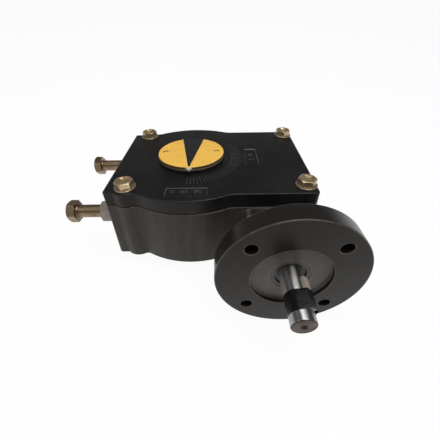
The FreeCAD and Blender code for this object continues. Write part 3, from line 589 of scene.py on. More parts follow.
def make_turned_steel(name, bright, dull, end_shade, smooth, rough):
    """Bright steel with fine turning rings, darkened on the faces towards the front as painted shade for the
    dark that they reflect.
    """
    finish = Finish(name, Metallic=1.0, Anisotropic=0.9, Anisotropic_Rotation=0.25)
    around = node(finish.tree, "Tangent", direction_type="RADIAL", axis="Y")
    feed(finish.tree, around.outputs["Tangent"], finish.shader.inputs["Tangent"])
    patch = finish.group(mottle, Patch_Scale=60.0)["Patch"]
    rings = finish.group(lathe_marks)["Rings"]
    front = finish.group(facing, Start=0.3, End=0.6)["Frontward"]
    sides = finish.blend(patch, bright, dull)
    # Faces towards the front take a dark colour: painted shade for the dark that they reflect.
    shaded_ends = finish.blend(finish.spread(patch, low=0.0, high=0.25), end_shade, dull)
    return finish.lay(finish.blend(front, sides, shaded_ends), finish.spread(rings, smooth, rough), rings,
                      strength=0.12, depth=0.02 * MM)


def make_moulding(name, face, shade, smooth, rough, relief, patch_scale=60.0, speck_scale=1500.0, **shader):
    """Plastic, rubber, tape or gasket sheet."""
    finish = Finish(name, **shader)
    marks = finish.group(mottle, Patch_Scale=patch_scale, Speck_Scale=speck_scale)
    return finish.lay(finish.blend(marks["Patch"], face, shade), finish.spread(marks["Speck"], smooth, rough),
                      marks["Speck"], strength=0.3, depth=relief)


def make_dial_paint(name, face, shade, side, edge, shade_in_hollows):
    """Yellow paint on upper faces, over dark plastic on the sides that is darkened as painted shade, with a
    pale painted highlight on rounded edges and painted shade in the hollows.
    """
    finish = Finish(name, Specular_IOR_Level=0.4)
    marks = finish.group(mottle, Patch_Scale=55.0, Speck_Scale=700.0)
    upward = finish.group(facing, Start=0.1, End=0.75)["Upward"]
    wear_and_painted_light = finish.group(edge_sheen_and_shade, Threshold=0.52, Width=0.08)
    # Dark sides: the plastic's colour, darkened further as painted shade.
    side_shaded = finish.blend(upward, side, finish.blend(marks["Patch"], face, shade))
    # Pale edge colour on rounded edges: painted highlight.
    rubbed_and_sheened = finish.blend(wear_and_painted_light["Rub"], side_shaded, edge)
    # Darker colour in hollows: painted shade.
    hollow_shaded = finish.blend(wear_and_painted_light["Hollow"], rubbed_and_sheened, shade_in_hollows)
    return finish.lay(hollow_shaded, finish.spread(marks["Speck"], low=0.34, high=0.5), marks["Speck"], strength=0.3,
                      depth=0.03 * MM)


# Each paint's fourth colour is its edge colour: partly worn paint, partly a painted highlight on edges that
# catch the light.
lid_paint = make_paint("lid_paint", (0.0056, 0.0053, 0.0055), (0.0102, 0.0097, 0.0098),
                       (0.026, 0.024, 0.023), (0.040, 0.037, 0.036), streaks=0.15,
                       smooth=0.27, rough=0.42, relief=0.08 * MM, gloss=0.22)
base_paint = make_paint("base_paint", (0.0080, 0.0070, 0.0062), (0.0215, 0.0183, 0.0153),
                        (0.066, 0.056, 0.046), (0.14, 0.112, 0.097), streaks=0.44,
                        smooth=0.34, rough=0.52, relief=0.10 * MM, gloss=0.34)
flange_paint = make_paint("flange_paint", (0.0060, 0.0056, 0.0053), (0.0125, 0.0115, 0.0107),
                          (0.052, 0.045, 0.039), (0.34, 0.29, 0.25), streaks=0.08,
                          smooth=0.24, rough=0.35, relief=0.05 * MM, gloss=0.215,
                          machined=(0.084, 0.075, 0.068))
tick_paint = make_paint("tick_paint", (0.0105, 0.0103, 0.0105), (0.022, 0.0214, 0.0214),
                        (0.050, 0.048, 0.046), (0.075, 0.073, 0.071), streaks=0.30,
                        smooth=0.30, rough=0.45, relief=0.05 * MM, gloss=0.28)
worn_paint = make_paint("worn_paint", (0.016, 0.016, 0.0165), (0.036, 0.035, 0.035),
                        (0.080, 0.078, 0.075), (0.12, 0.118, 0.115), streaks=0.30,
                        smooth=0.30, rough=0.45, relief=0.05 * MM, gloss=0.35)
gasket_sheet = make_moulding("gasket_sheet", (0.006, 0.003, 0.0027), (0.022, 0.009, 0.0075), smooth=0.5,
                             rough=0.8, relief=0.08 * MM, patch_scale=28.0, Specular_IOR_Level=0.2)
yellow_zinc = make_plating("yellow_zinc", (0.68, 0.56, 0.37), (0.38, 0.25, 0.11), (0.17, 0.095, 0.035),
                           smooth=0.26, rough=0.42, metallic=0.8)
washer_zinc = make_plating("washer_zinc", (0.42, 0.36, 0.27), (0.28, 0.22, 0.14), (0.18, 0.13, 0.08),
                           smooth=0.30, rough=0.46, metallic=0.8)
stop_zinc = make_plating("stop_zinc", (0.36, 0.275, 0.178), (0.21, 0.136, 0.081), (0.125, 0.08, 0.048),
                         smooth=0.28, rough=0.45)
grey_zinc = make_plating("grey_zinc", (0.25, 0.225, 0.20), (0.16, 0.13, 0.11), (0.12, 0.09, 0.075),
                         smooth=0.36, rough=0.52, relief=0.04 * MM)
# The third colour of each steel goes on its front faces, a painted shade on the shaft end.
ground_steel = make_turned_steel("ground_steel", (0.42, 0.42, 0.43), (0.29, 0.28, 0.265),
                                 (0.060, 0.040, 0.032), smooth=0.30, rough=0.42)
bearing_steel = make_turned_steel("bearing_steel", (0.55, 0.55, 0.56), (0.47, 0.47, 0.48), (0.4, 0.4, 0.4),
                                  smooth=0.12, rough=0.25)
key_steel = make_plating("key_steel", (0.52, 0.47, 0.38), (0.40, 0.35, 0.27), (0.27, 0.22, 0.16),
                         smooth=0.36, rough=0.52, metallic=0.4)
bronze = make_plating("bronze", (0.52, 0.33, 0.14), (0.40, 0.24, 0.10), (0.28, 0.17, 0.08),
                      smooth=0.3, rough=0.45)
ductile_iron = make_plating("ductile_iron", (0.16, 0.155, 0.15), (0.10, 0.095, 0.09), (0.07, 0.065, 0.06),
                            smooth=0.42, rough=0.6, relief=0.06 * MM)
rubber = make_moulding("rubber", (0.008, 0.0075, 0.0073), (0.014, 0.013, 0.0125), smooth=0.45, rough=0.65,
                       relief=0.05 * MM, Specular_IOR_Level=0.2)
painted_rubber = make_moulding("painted_rubber", (0.058, 0.051, 0.047), (0.072, 0.064, 0.058), smooth=0.28,
                               rough=0.38, relief=0.05 * MM, Specular_IOR_Level=0.26)
tape = make_moulding("tape", (0.0028, 0.0031, 0.0040), (0.0060, 0.0065, 0.0082), smooth=0.24, rough=0.40,
                     relief=0.08 * MM, patch_scale=140.0, speck_scale=420.0, Specular_IOR_Level=0.25)
black_plastic = make_moulding("black_plastic", (0.005, 0.005, 0.0053), (0.009, 0.0088, 0.009), smooth=0.35,
                              rough=0.5, relief=0.04 * MM)
# Dial colours: face, patch, side (partly painted shade), edge (painted highlight), hollows (painted shade).
dial_paint = make_dial_paint("dial_paint", (0.81, 0.48, 0.085), (0.74, 0.42, 0.07), (0.026, 0.013, 0.005),
                             (0.90, 0.70, 0.40), (0.20, 0.085, 0.02))
# Pale colour of the dial's nose: painted highlight for the glint at the pointer tip.
nose_painted_highlight = make_plating("nose_painted_highlight", (0.66, 0.57, 0.45), (0.55, 0.45, 0.33), (0.40, 0.31, 0.22),
                         smooth=0.35, rough=0.5, relief=0.02 * MM, metallic=0.1)


# Castings

chamfer_round = 1.6 * MM
pad_fillet = 5.0 * MM
boss_fillet = 8.0 * MM
block_fillet = 22.0 * MM


def casting_outline(height, grow, boss_flare=0.0):
    """The outline that base, gasket and lid share, set out by grow, with bosses wider by boss_flare."""
    left, right = -base_low.x, base_high.x
    drum = base_high.y
    boss = boss_radius + boss_flare
    boss_x, boss_y = left_bolt_x, -lid_bolt_y
    tangent = chamfer_round * tan(EIGHTH_TURN / 2)
    wall_turn = (chamfer_round - left, pad_chamfer + tangent - pad_half_depth)
    pad_turn = (pad_chamfer + tangent - left, chamfer_round - pad_half_depth)
    pad_drop = pad_half_depth + pad_fillet + boss_y
    pad_reach = sqrt((boss + pad_fillet) ** 2 - pad_drop ** 2)
    pad_hollow = (boss_x - pad_reach, -pad_half_depth - pad_fillet)
    to_boss = atan2(boss_y - pad_hollow[1], boss_x - pad_hollow[0])
    reach = hypot(boss_x, boss_y)
    far, close = drum + boss_fillet, boss + boss_fillet
    opening = acos((reach ** 2 + far ** 2 - close ** 2) / (2 * reach * far))
    boss_bearing = atan2(boss_y, boss_x) + opening
    boss_hollow = (far * cos(boss_bearing), far * sin(boss_bearing))
    from_boss = atan2(boss_hollow[1] - boss_y, boss_hollow[0] - boss_x)
    block_drop = block_half_depth + block_fillet
    block_hollow = (sqrt((drum + block_fillet) ** 2 - block_drop ** 2), -block_drop)
    block_bearing = atan2(block_hollow[1], block_hollow[0])
    corner = (right - block_corner, block_corner - block_half_depth)

    half = Outline(-left - grow, 0, height)
    half.line((-left - grow, wall_turn[1] + flat_rim), (-left - grow, wall_turn[1]))
    half.arc(*wall_turn, EIGHTH_TURN, steps=3)
    slant = (chamfer_round + grow) * sin(EIGHTH_TURN)
    half.line((pad_turn[0] - slant, pad_turn[1] - slant))
    half.arc(*pad_turn, EIGHTH_TURN, steps=3)
    half.line((pad_hollow[0], -pad_half_depth - grow))
    half.arc(*pad_hollow, to_boss - QUARTER_TURN, steps=6)
    half.arc(boss_x, boss_y, swept(to_boss + HALF_TURN, from_boss), steps=18)
    half.arc(*boss_hollow, -swept(boss_bearing + HALF_TURN, from_boss + HALF_TURN), steps=8)
    half.arc(0, 0, swept(boss_bearing, block_bearing), steps=30)
    half.arc(*block_hollow, -swept(QUARTER_TURN, block_bearing + HALF_TURN), steps=8)
    half.line((corner[0] - flat_rim, -block_half_depth - grow), (corner[0], -block_half_depth - grow))
    half.arc(*corner, QUARTER_TURN, steps=6)
    half.line((right + grow, corner[1] + flat_rim), (right + grow, 0))
    return half.mirrored("Y")


def swing_room_outline(height):
    """D-shaped room for the quadrant, closed on the left by the stop wall, which is hollow around the hub."""
    bearing = acos(-swing_room_left / swing_room_radius)
    half = Outline(-hub_room_radius, 0, height)
    half.arc(0, 0, acos(swing_room_left / hub_room_radius), steps=10)
    half.line((-swing_room_left, -swing_room_radius * sin(bearing)))
    half.arc(0, 0, bearing, steps=30)
    return half.mirrored("Y")


bore_patch_across = 30.0 * MM
bore_patch_up = 23.5 * MM
drill_length = 4 * block_half_depth


def drill_worm_bore(bm):
    """Cuts the bore for the worm and its bearings through a closed casting."""
    for along, middle, half_size in (((1, 0, 0), worm_x, bore_patch_across),
                                     ((0, 0, 1), worm_z, bore_patch_up)):
        for side in (-1, 1):
            bisect(bm, Vector(along) * (middle + side * half_size), along)
    bmesh.ops.remove_doubles(bm, verts=bm.verts, dist=weld)
    bmesh.ops.recalc_face_normals(bm, faces=bm.faces)
    bit = bmesh.new()
    bmesh.ops.create_cone(bit, cap_ends=True, segments=bore_segments, radius1=worm_bore_radius,
                          radius2=worm_bore_radius, depth=drill_length, matrix=TO_FRONT)
    casting = new_object(bm, "casting")
    drill = new_object(bit, "drill")
    cut = casting.modifiers.new("worm_bore", "BOOLEAN")
    cut.operation = "DIFFERENCE"
    cut.solver = "EXACT"
    cut.object = drill
    bored = bmesh.new()
    bored.from_object(casting, bpy.context.evaluated_depsgraph_get())
    for spare in (casting, drill):
        mesh = spare.data
        bpy.data.objects.remove(spare)
        bpy.data.meshes.remove(mesh)
    return bored


base_flare = 1.8 * MM
base_boss_flare = 0.4 * MM
base_foot_round = 1.2 * MM
seam_round = 0.5 * MM
lid_edge_round = 1.0 * MM
gasket_inset = 1.1 * MM


def make_base_casting():
    bm = bmesh.new()
    outlines = [casting_outline(base_foot_round * (1 - cos(bend)),
                                base_flare - base_foot_round * (1 - sin(bend)), base_boss_flare)
                for bend in quarter_round()]
    outlines += [casting_outline(base_high.z - seam_round, -seam_ledge),
                 casting_outline(base_high.z, -seam_ledge - seam_round)]
    underside, seam = skin(bm, outlines)
    score(bm, base_foot_round + flat_rim, base_high.z - seam_round - flat_rim)
    room = edges_of(join(bm, swing_room_outline(base_high.z)))
    fill(bm, seam, room)
    floor = pull(bm, room, base_floor - base_high.z)
    bush_seat = circle_loop(bm, bush_seat_radius, bore_segments, at(0, 0, base_floor))
    fill(bm, floor, bush_seat)
    lip = pull(bm, bush_seat, journal_lip - base_floor)
    lip = pull(bm, lip, scale=journal_radius / bush_seat_radius)
    journal = pull(bm, lip, -journal_lip)
    valve_holes = []
    for place in four_around(valve_bolt_circle, 0):
        hole = circle_loop(bm, valve_hole_radius, hole_segments, place)
        valve_holes.append(hole)
        pull(bm, pull(bm, hole, valve_hole_depth), valve_hole_cone, scale=0.0)
    fill(bm, underside, journal, *valve_holes)
    finish_piece(drill_worm_bore(bm), "base_casting", "gearbox_body", base_paint, ["housing"])


def make_seam_gasket():
    bm = bmesh.new()
    lower, upper = skin(bm, [casting_outline(side.z, -gasket_inset) for side in (gasket_low, gasket_high)])
    window = edges_of(join(bm, swing_room_outline(gasket_low.z)))
    fill(bm, lower, window)
    fill(bm, upper, pull(bm, window, gasket_high.z - gasket_low.z))
    finish_piece(bm, "seam_gasket", "gearbox_body", gasket_sheet, ["cover_gasket"])


def make_lid_casting():
    bm = bmesh.new()
    outlines = [casting_outline(lid_floor, -seam_ledge - seam_round),
                casting_outline(lid_floor + seam_round, -seam_ledge)]
    outlines += [casting_outline(lid_top - lid_edge_round * (1 - sin(bend)),
                                 -seam_ledge - lid_edge_round * (1 - cos(bend)))
                 for bend in quarter_round()]
    underside, top = skin(bm, outlines)
    score(bm, lid_floor + seam_round + flat_rim, lid_top - lid_edge_round - flat_rim)
    journal = circle_loop(bm, lid_journal_radius, bore_segments, at(0, 0, lid_top))
    fill(bm, top, journal)
    lip = pull(bm, journal, -journal_lip)
    seat = pull(bm, lip, scale=lid_bush_radius / lid_journal_radius)
    fill(bm, underside, pull(bm, seat, lid_floor + journal_lip - lid_top))
    finish_piece(bm, "lid_casting", "gearbox_body", lid_paint, ["cover"])


# Marks on the lid

tick_inner = 44.0 * MM
tick_outer = 57.0 * MM
tick_width = 0.8 * MM
tick_height = 0.6 * MM
tick_round = 0.25 * MM
tick_step = 3.75
tick_first = -91.0
tick_count = 35


def make_scale_ticks():
    """Raised radial marks on the lid around the indicator."""
    bm = bmesh.new()
    length = tick_outer - tick_inner
    size = Matrix.Diagonal((length, tick_width, 2 * tick_height, 1))
    for number in range(tick_count):
        bearing = spun(radians(tick_first + number * tick_step))
        place = at(tick_inner + length / 2, 0, lid_top)
        bmesh.ops.create_cube(bm, size=1.0, matrix=bearing @ place @ size)
    upper = [edge for edge in bm.edges if min(vert.co.z for vert in edge.verts) > lid_top]
    round_edges(bm, upper, tick_round, segments=2)
    finish_piece(bm, "scale_ticks", "gearbox_body", tick_paint)


plaque_length = 40.0 * MM
plaque_width = 14.0 * MM
plaque_corner = 1.2 * MM
plaque_rim = 0.8 * MM
plaque_height = lid_high.z - lid_top
plaque_sink = 1.5 * plaque_height
mostly_up = 0.9
front_plaque_distance = 71.0 * MM
side_plaque_distance = 68.0 * MM
front_plaque = at(0, -front_plaque_distance, lid_top)
side_plaque = at(side_plaque_distance, 0, lid_top) @ spun(QUARTER_TURN)


def make_plaque(name, place):
    """A number plate cast on the lid: a raised rim, inside which the lid's own face shows."""
    bm = bmesh.new()
    size = Matrix.Diagonal((plaque_length, plaque_width, 2 * plaque_height, 1))
    bmesh.ops.create_cube(bm, size=1.0, matrix=size)
    upright = [edge for edge in bm.edges if abs(edge.verts[0].co.z - edge.verts[1].co.z) > plaque_height]
    round_edges(bm, upright, plaque_corner, segments=4)
    top = [face for face in bm.faces if face.normal.z > mostly_up]
    bmesh.ops.inset_region(bm, faces=top, thickness=plaque_rim, depth=0)
    bmesh.ops.translate(bm, vec=(0, 0, -plaque_sink), verts=top[0].verts)
    finish_piece(bm, name, "gearbox_body", worn_paint, place=place)


number_size = 8.5 * MM
number_half_depth = 0.35 * MM
number_bevel = 0.1 * MM
number_lift = 0.25 * MM


def make_numbers(name, text, place):
    """Plain raised degrees."""
    font = bpy.data.curves.new(name, "FONT")
    font.body = text
    font.size = number_size
    font.extrude = number_half_depth
    font.bevel_depth = number_bevel
    font.align_x = "CENTER"
    font.align_y = "CENTER"
    lettering = bpy.data.objects.new(name + "_text", font)
    mesh = bpy.data.meshes.new_from_object(lettering)
    bpy.data.objects.remove(lettering)
    bpy.data.curves.remove(font)
    bm = bmesh.new()
    bm.from_mesh(mesh)
    bpy.data.meshes.remove(mesh)
    finish_piece(bm, name, "gearbox_body", worn_paint, place=place @ at(0, 0, number_lift))


# Input flange and rear cap

rim_round = 1.2 * MM
recess_edge_round = 0.5 * MM
recess_fillet = 1.0 * MM
neck_fillet = 5.0 * MM
neck_foot_fillet = 1.8 * MM
foot_edge_round = 1.2 * MM
hole_chamfer = 0.4 * MM


def foot_outline(height, grow):
    """Rounded rectangle that the flange's foot and the cap at the back share."""
    across, up = foot_half_width - foot_corner, foot_half_height - foot_corner
    quarter = Outline(0, -foot_half_height - grow, height)
    quarter.line((across - flat_rim, -foot_half_height - grow), (across, -foot_half_height - grow))
    quarter.arc(across, -up, QUARTER_TURN, steps=6)
    quarter.line((foot_half_width + grow, -up + flat_rim), (foot_half_width + grow, 0))
    quarter.mirrored("Y")
    return quarter.mirrored("X")


def foot_walls(bm, face):
    """Walls of the foot or the cap, out to a face with a rounded edge, and their end loops."""
    loops = skin(bm, [foot_outline(block_half_depth, 0), foot_outline(face - foot_edge_round, 0),
                      foot_outline(face - foot_edge_round * (1 - sin(EIGHTH_TURN)),
                                   -foot_edge_round * (1 - cos(EIGHTH_TURN))),
                      foot_outline(face, -foot_edge_round)])
    score(bm, block_half_depth + flat_rim, face - foot_edge_round - flat_rim)
    return loops


def make_input_flange():
    rim_radius = flange_radius - rim_round
    rim = Outline(rim_radius, flange_back)
    rim.arc(rim_radius, flange_back + rim_round, QUARTER_TURN, steps=4)
    rim.line((flange_radius, flange_face - rim_round))
    rim.arc(rim_radius, flange_face - rim_round, QUARTER_TURN, steps=4)
    recess_mouth = recess_radius + recess_edge_round
    hollow_radius = recess_radius - recess_fillet
    seal_pocket, spigot_end = -seal_high.y, -flange_high.y
    recess = Outline(recess_mouth, flange_face)
    recess.arc(recess_mouth, flange_face - recess_edge_round, QUARTER_TURN, steps=2)
    recess.line((recess_radius, recess_floor + recess_fillet))
    recess.arc(hollow_radius, recess_floor + recess_fillet, -QUARTER_TURN, steps=4)
    recess.line((hollow_radius - flat_rim, recess_floor), (seal_radius + flat_rim, recess_floor),
                (seal_radius, recess_floor), (seal_radius, seal_pocket), (neck_bore_radius, seal_pocket),
                (neck_bore_radius, spigot_end), (spigot_radius, spigot_end),
                (spigot_radius, block_half_depth))
    neck_foot, neck_top = neck_radius + neck_foot_fillet, neck_radius + neck_fillet
    neck = Outline(neck_foot, foot_front)
    neck.arc(neck_foot, foot_front + neck_foot_fillet, -QUARTER_TURN, steps=4)
    neck.line((neck_radius, flange_back - neck_fillet))
    neck.arc(neck_top, flange_back - neck_fillet, -QUARTER_TURN, steps=6)

    bm = bmesh.new()
    for profile in (rim, recess, neck):
        join(bm, turned(profile, flange_segments))
    face_holes, back_holes = [], []
    mouth_radius = flange_hole_radius + hole_chamfer
    for place in four_around(flange_bolt_circle, flange_face):
        mouth = circle_loop(bm, mouth_radius, hole_segments, place)
        throat = pull(bm, mouth, -hole_chamfer, flange_hole_radius / mouth_radius)
        face_holes.append(mouth)
        back_holes.append(pull(bm, throat, hole_chamfer - flange_thickness))
    score(bm, flange_face - rim_round - flat_rim, flange_back + rim_round + flat_rim,
          foot_front + neck_foot_fillet + flat_rim)
    for level, inner, holes in ((flange_face, recess_mouth, face_holes), (flange_back, neck_top, back_holes)):
        fill(bm, rim_loop(bm, level, rim_radius), rim_loop(bm, level, inner), *holes)
    foot_back, foot_face = foot_walls(bm, foot_front)
    fill(bm, foot_face, rim_loop(bm, foot_front, neck_foot), rim=0)
    fill(bm, foot_back, rim_loop(bm, block_half_depth, spigot_radius))
    finish_piece(bm, "input_flange_casting", "gearbox_body", flange_paint, ["input_flange"],
                 TO_FRONT)


def make_bore_cap():
    """Cover plate over the worm bore at the back."""
    bm = bmesh.new()
    wall_side, face = foot_walls(bm, cap_high.y)
    fill(bm, face)
    spigot = circle_loop(bm, spigot_radius, bore_segments, at(0, 0, block_half_depth))
    fill(bm, wall_side, spigot)
    fill(bm, pull(bm, spigot, cap_low.y - block_half_depth))
    finish_piece(bm, "bore_cap", "gearbox_body", base_paint, ["rear_cap"], TO_BACK)


# Fasteners

turned_share = 0.475
head_slope = tan(radians(30))
flat_cuts = 7


def hexagon(flats, height):
    """A hexagon standing on z = 0 with its upper corners turned off, and its lower and upper loops."""
    bm = bmesh.new()
    foot = circle_loop(bm, flats / sqrt(3), segments=6, place=spun(QUARTER_TURN))
    bmesh.ops.subdivide_edges(bm, edges=foot, cuts=flat_cuts)
    foot = bm.edges[:]
    turned_radius = turned_share * flats
    shoulder = pull(bm, foot, height)
    for vert in verts_of(shoulder):
        vert.co.z = height - (vert.co.xy.length - turned_radius) * head_slope
    crown = pull(bm, shoulder)
    for vert in verts_of(crown):
        vert.co = (*(vert.co.xy.normalized() * turned_radius), height)
    return bm, foot, crown


def dished_hexagon(flats, height, dish, lip_share, floor_share):
    """A bolt head with a dished top, and its open lower loop."""
    head, foot, crown = hexagon(flats, height)
    lip = pull(head, crown, scale=lip_share)
    fill(head, pull(head, lip, -dish, floor_share))
    return head, foot


def add_bolt(bm, flats, height, dish, shank_radius, shank_length, place):
    head, foot = dished_hexagon(flats, height, dish, lip_share=0.80, floor_share=0.84)
    shank = circle_loop(head, shank_radius, hole_segments)
    fill(head, foot, shank)
    fill(head, pull(head, shank, -shank_length))
    join(bm, head, place)


washer_edge_share = 0.25


def add_washer(bm, radius, hole_radius, thickness, place):
    edge = washer_edge_share * thickness
    profile = Outline(hole_radius, 0)
    profile.line((radius - edge, 0))
    profile.arc(radius - edge, edge, QUARTER_TURN, steps=3)
    profile.line((radius, thickness - edge))
    profile.arc(radius - edge, thickness - edge, QUARTER_TURN, steps=3)
    profile.line((hole_radius, thickness), (hole_radius, 0))
    join(bm, turned(profile, bore_segments), place)


lid_bolt_clocks = (20.0, 5.0, 51.0, 32.0)
lid_bolt_dish = 1.3 * MM


def make_lid_fasteners():
    bolts, washers = bmesh.new(), bmesh.new()
    for (x, y), clock in zip(lid_bolt_places, lid_bolt_clocks):
        add_bolt(bolts, lid_bolt_flats, lid_bolt_high.z - washer_high.z, lid_bolt_dish, lid_bolt_radius,
                 washer_high.z - lid_bolt_low.z, at(x, y, washer_high.z) @ spun(radians(clock)))
        add_washer(washers, washer_radius, washer_hole_radius, washer_high.z - washer_low.z,
                   at(x, y, washer_low.z))
    finish_piece(bolts, "lid_bolts", "gearbox_body", yellow_zinc, ["cover_bolts"])
    finish_piece(washers, "lid_washers", "gearbox_body", washer_zinc, ["cover_washers"])


foot_bolt_dish = 0.5 * MM
foot_bolt_clocks = (5.0, 22.0, 39.0, 56.0)


def make_foot_bolts(name, replaced, seat, top, tip, place):
    """Bolts of the foot or the cap, with heads from seat to top and shanks down to tip."""
    bm = bmesh.new()
    for (x, y), clock in zip(foot_bolt_places, foot_bolt_clocks):
        add_bolt(bm, foot_bolt_flats, top - seat, foot_bolt_dish, foot_bolt_radius, seat - tip,
                 at(x, y, seat) @ spun(radians(clock)))
    finish_piece(bm, name, "gearbox_body", yellow_zinc, [replaced], place)


stop_dish = 0.5 * MM
stop_fillet = 1.2 * MM
stop_plain_end = 1.5 * MM
thread_pitch = 2.0 * MM
thread_depth = 1.1 * MM
thread_overlap = 0.3 * MM
thread_crest = (0.4 * thread_pitch, 0.6 * thread_pitch)
thread_steps = 24


def make_stop_bolt(name, body, replaced, y, clock):
    """Long bolt of a travel stop: dished head, plain neck and a thread from the lock nut inwards."""
    low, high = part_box(replaced)
    seat = -low.x - stop_head
    end = -seat - high.x
    bm, foot = dished_hexagon(stop_flats, stop_head, stop_dish, lip_share=0.93, floor_share=0.93)
    fillet_radius = stop_bolt_radius + stop_fillet
    root = stop_bolt_radius - thread_depth
    plain = seat + nut_low.x + stop_plain_end
    neck = Outline(fillet_radius, 0)
    neck.arc(fillet_radius, -stop_fillet, QUARTER_TURN, steps=4)
    neck.line((stop_bolt_radius, -plain), (root, -plain - thread_depth), (root, end), (0, end))
    join(bm, turned(neck, shank_segments))
    fill(bm, foot, rim_loop(bm, 0, fillet_radius))
    turns = int((-end - plain - thread_depth) / thread_pitch) - 1
    start = -plain - thread_overlap
    ridge = Outline(root, start)
    ridge.line(*[(stop_bolt_radius, start - drop) for drop in thread_crest], (root, start - thread_pitch))
    join(bm, wound(ridge, -thread_pitch / thread_steps, turns * FULL_TURN, turns * thread_steps))
    finish_piece(bm, name, body, stop_zinc, [replaced],
                 at(0, y, stop_z) @ TO_LEFT @ at(0, 0, seat) @ spun(radians(clock)))


nut_gap = 0.1 * MM
nut_chamfer = 0.8 * MM
nut_mouth_share = 1.11
stop_seal_gap = 0.05 * MM


def make_stop_nuts():
    nuts, seals = bmesh.new(), bmesh.new()
    height = nut_high.x - nut_low.x
    for y in (-stop_half_spacing, stop_half_spacing):
        nut, foot, crown = hexagon(stop_flats, height)
        hole = circle_loop(nut, stop_bolt_radius + nut_gap, shank_segments)
        fill(nut, foot, hole)
        throat = pull(nut, hole, height - nut_chamfer)
        fill(nut, crown, pull(nut, throat, nut_chamfer, nut_mouth_share))
        join(nuts, nut, at(nut_high.x, y, stop_z) @ TO_LEFT)
        add_washer(seals, (stop_seal_high.z - stop_seal_low.z) / 2, stop_bolt_radius + stop_seal_gap,
                   stop_seal_high.x - stop_seal_low.x, at(stop_seal_high.x, y, stop_z) @ TO_LEFT)
    finish_piece(nuts, "stop_nuts", "gearbox_body", grey_zinc, ["stop_lock_nuts"])
    finish_piece(seals, "stop_seals", "gearbox_body", rubber, ["stop_seal_washers"])


# Position indicator

dial_edge_round = 0.6 * MM
wedge_edge_round = 0.3 * MM
plate_rim = 0.3 * MM
window_apex = 34.2 * MM
window_blunt = 0.7 * MM
window_mouth = 12.5 * MM
window_gap = 0.15 * MM
wedge_apex_gap = 5 * window_gap


def raise_plate(bm, height, edge_round, holes=(), hole_radius=0.0, hole_depth=0.0):
    """Makes a plate of a closed outline, with rounded upper edges and blind holes in its upper face."""
    face = bmesh.ops.edgeloop_fill(bm, edges=bm.edges[:])["faces"]
    grown = bmesh.ops.extrude_face_region(bm, geom=face)["geom"]
    lifted = {item for item in grown if isinstance(item, bmesh.types.BMVert)}
    bmesh.ops.translate(bm, vec=(0, 0, height), verts=list(lifted))
    bmesh.ops.recalc_face_normals(bm, faces=bm.faces)
    round_edges(bm, [edge for edge in bm.edges if lifted.issuperset(edge.verts)], edge_round)
    top = max(bm.faces, key=lambda plane: plane.calc_area() * (plane.calc_center_median().z + plane.normal.z))
    level = top.calc_center_median().z
    bmesh.ops.inset_region(bm, faces=[top], thickness=plate_rim, depth=0)
    score(bm, level - edge_round - plate_rim)
    loops = [top.edges[:]]
    bmesh.ops.delete(bm, geom=[top], context="FACES_ONLY")
    for x, y in holes:
        hole = circle_loop(bm, hole_radius, hole_segments, at(x, y, level))
        loops.append(pull(bm, hole, scale=1 + most_rim))
        fill(bm, pull(bm, hole, -hole_depth))
    fill(bm, *loops, rim=0)
    return bm


def make_pointer_disc():
    """Black disc under the dial, with the wedge that shows in the dial's window."""
    bm = bmesh.new()
    disc_top = dial_low.z
    foot = circle_loop(bm, disc_radius, disc_segments, at(0, 0, disc_low.z))
    fill(bm, foot)
    fill(bm, pull(bm, foot, disc_top - disc_low.z))
    mouth = window_mouth - window_gap
    bearing = acos(mouth / dial_radius)
    half = Outline(0, wedge_apex_gap - window_apex, disc_top)
    half.line((mouth, dial_radius * sin(bearing)))
    half.arc(0, 0, QUARTER_TURN - bearing, steps=6)
    join(bm, raise_plate(half.mirrored("X"), disc_high.z - disc_top, wedge_edge_round))
    finish_piece(bm, "pointer_disc", "output_quadrant", black_plastic, ["indicator_base"])


def make_dial():
    """Yellow dial with a V-shaped window."""
    mouth_bearing = acos(window_mouth / dial_radius)
    half = Outline(0, -dial_radius, dial_low.z)
    half.arc(0, 0, QUARTER_TURN + mouth_bearing, steps=56)
    half.line((window_blunt, -window_apex), (0, -window_apex))
    bm = raise_plate(half.mirrored("X"), dial_high.z - dial_low.z, dial_edge_round, dial_screw_places,
                     dial_screw_radius, dial_screw_head)
    finish_piece(bm, "indicator_dial", "output_quadrant", dial_paint, ["indicator_cap"])


nose_half_width = 3.2 * MM
nose_height = 3.0 * MM
nose_top_gap = 0.4 * MM
nose_root = 1.5 * MM - dial_radius
nose_round = 0.7 * MM


def make_dial_nose():
    """Small nose on the dial's rim that points at the scale, pale as a painted highlight."""
    half = Outline(0, dial_low.y, dial_high.z - nose_height)
    half.line((nose_half_width, -dial_radius), (nose_half_width / 2, nose_root), (0, nose_root))
    bm = raise_plate(half.mirrored("X"), nose_height - nose_top_gap, nose_round)
    finish_piece(bm, "dial_nose", "output_quadrant", nose_painted_highlight)


screw_dome = 0.45 * MM
screw_sink = 0.6 * MM
screw_gap = 0.5 * MM


def make_dial_screws():
    """Two round screw heads, sunk in the dial."""
    bm = bmesh.new()
    radius = dial_screw_radius - screw_gap
    dome_radius = (radius ** 2 + screw_dome ** 2) / (2 * screw_dome)
    for x, y in dial_screw_places:
        profile = Outline(0, -dial_screw_head)
        profile.line((radius, -dial_screw_head), (radius, -screw_sink))
        profile.arc(0, screw_dome - dome_radius - screw_sink, asin(radius / dome_radius), steps=5)
        join(bm, turned(profile, hole_segments), at(x, y, dial_high.z))
    finish_piece(bm, "dial_screws", "output_quadrant", dial_paint, ["indicator_screws"])


# Input shaft

worm_tip_radius = 19.0 * MM
worm_root_radius = 12.25 * MM
worm_half_length = 37.0 * MM
worm_module = 3.0 * MM
worm_lead = pi * worm_module
worm_seat = 57.4 * MM
worm_thread_sink = 0.75 * MM
worm_thread_half_root = 3.6 * MM
worm_thread_half_tip = 1.0 * MM
worm_thread_steps = 36
shaft_chamfer = 1.2 * MM
centre_hole_radius = 2.5 * MM
centre_hole_chamfer = 0.4 * MM


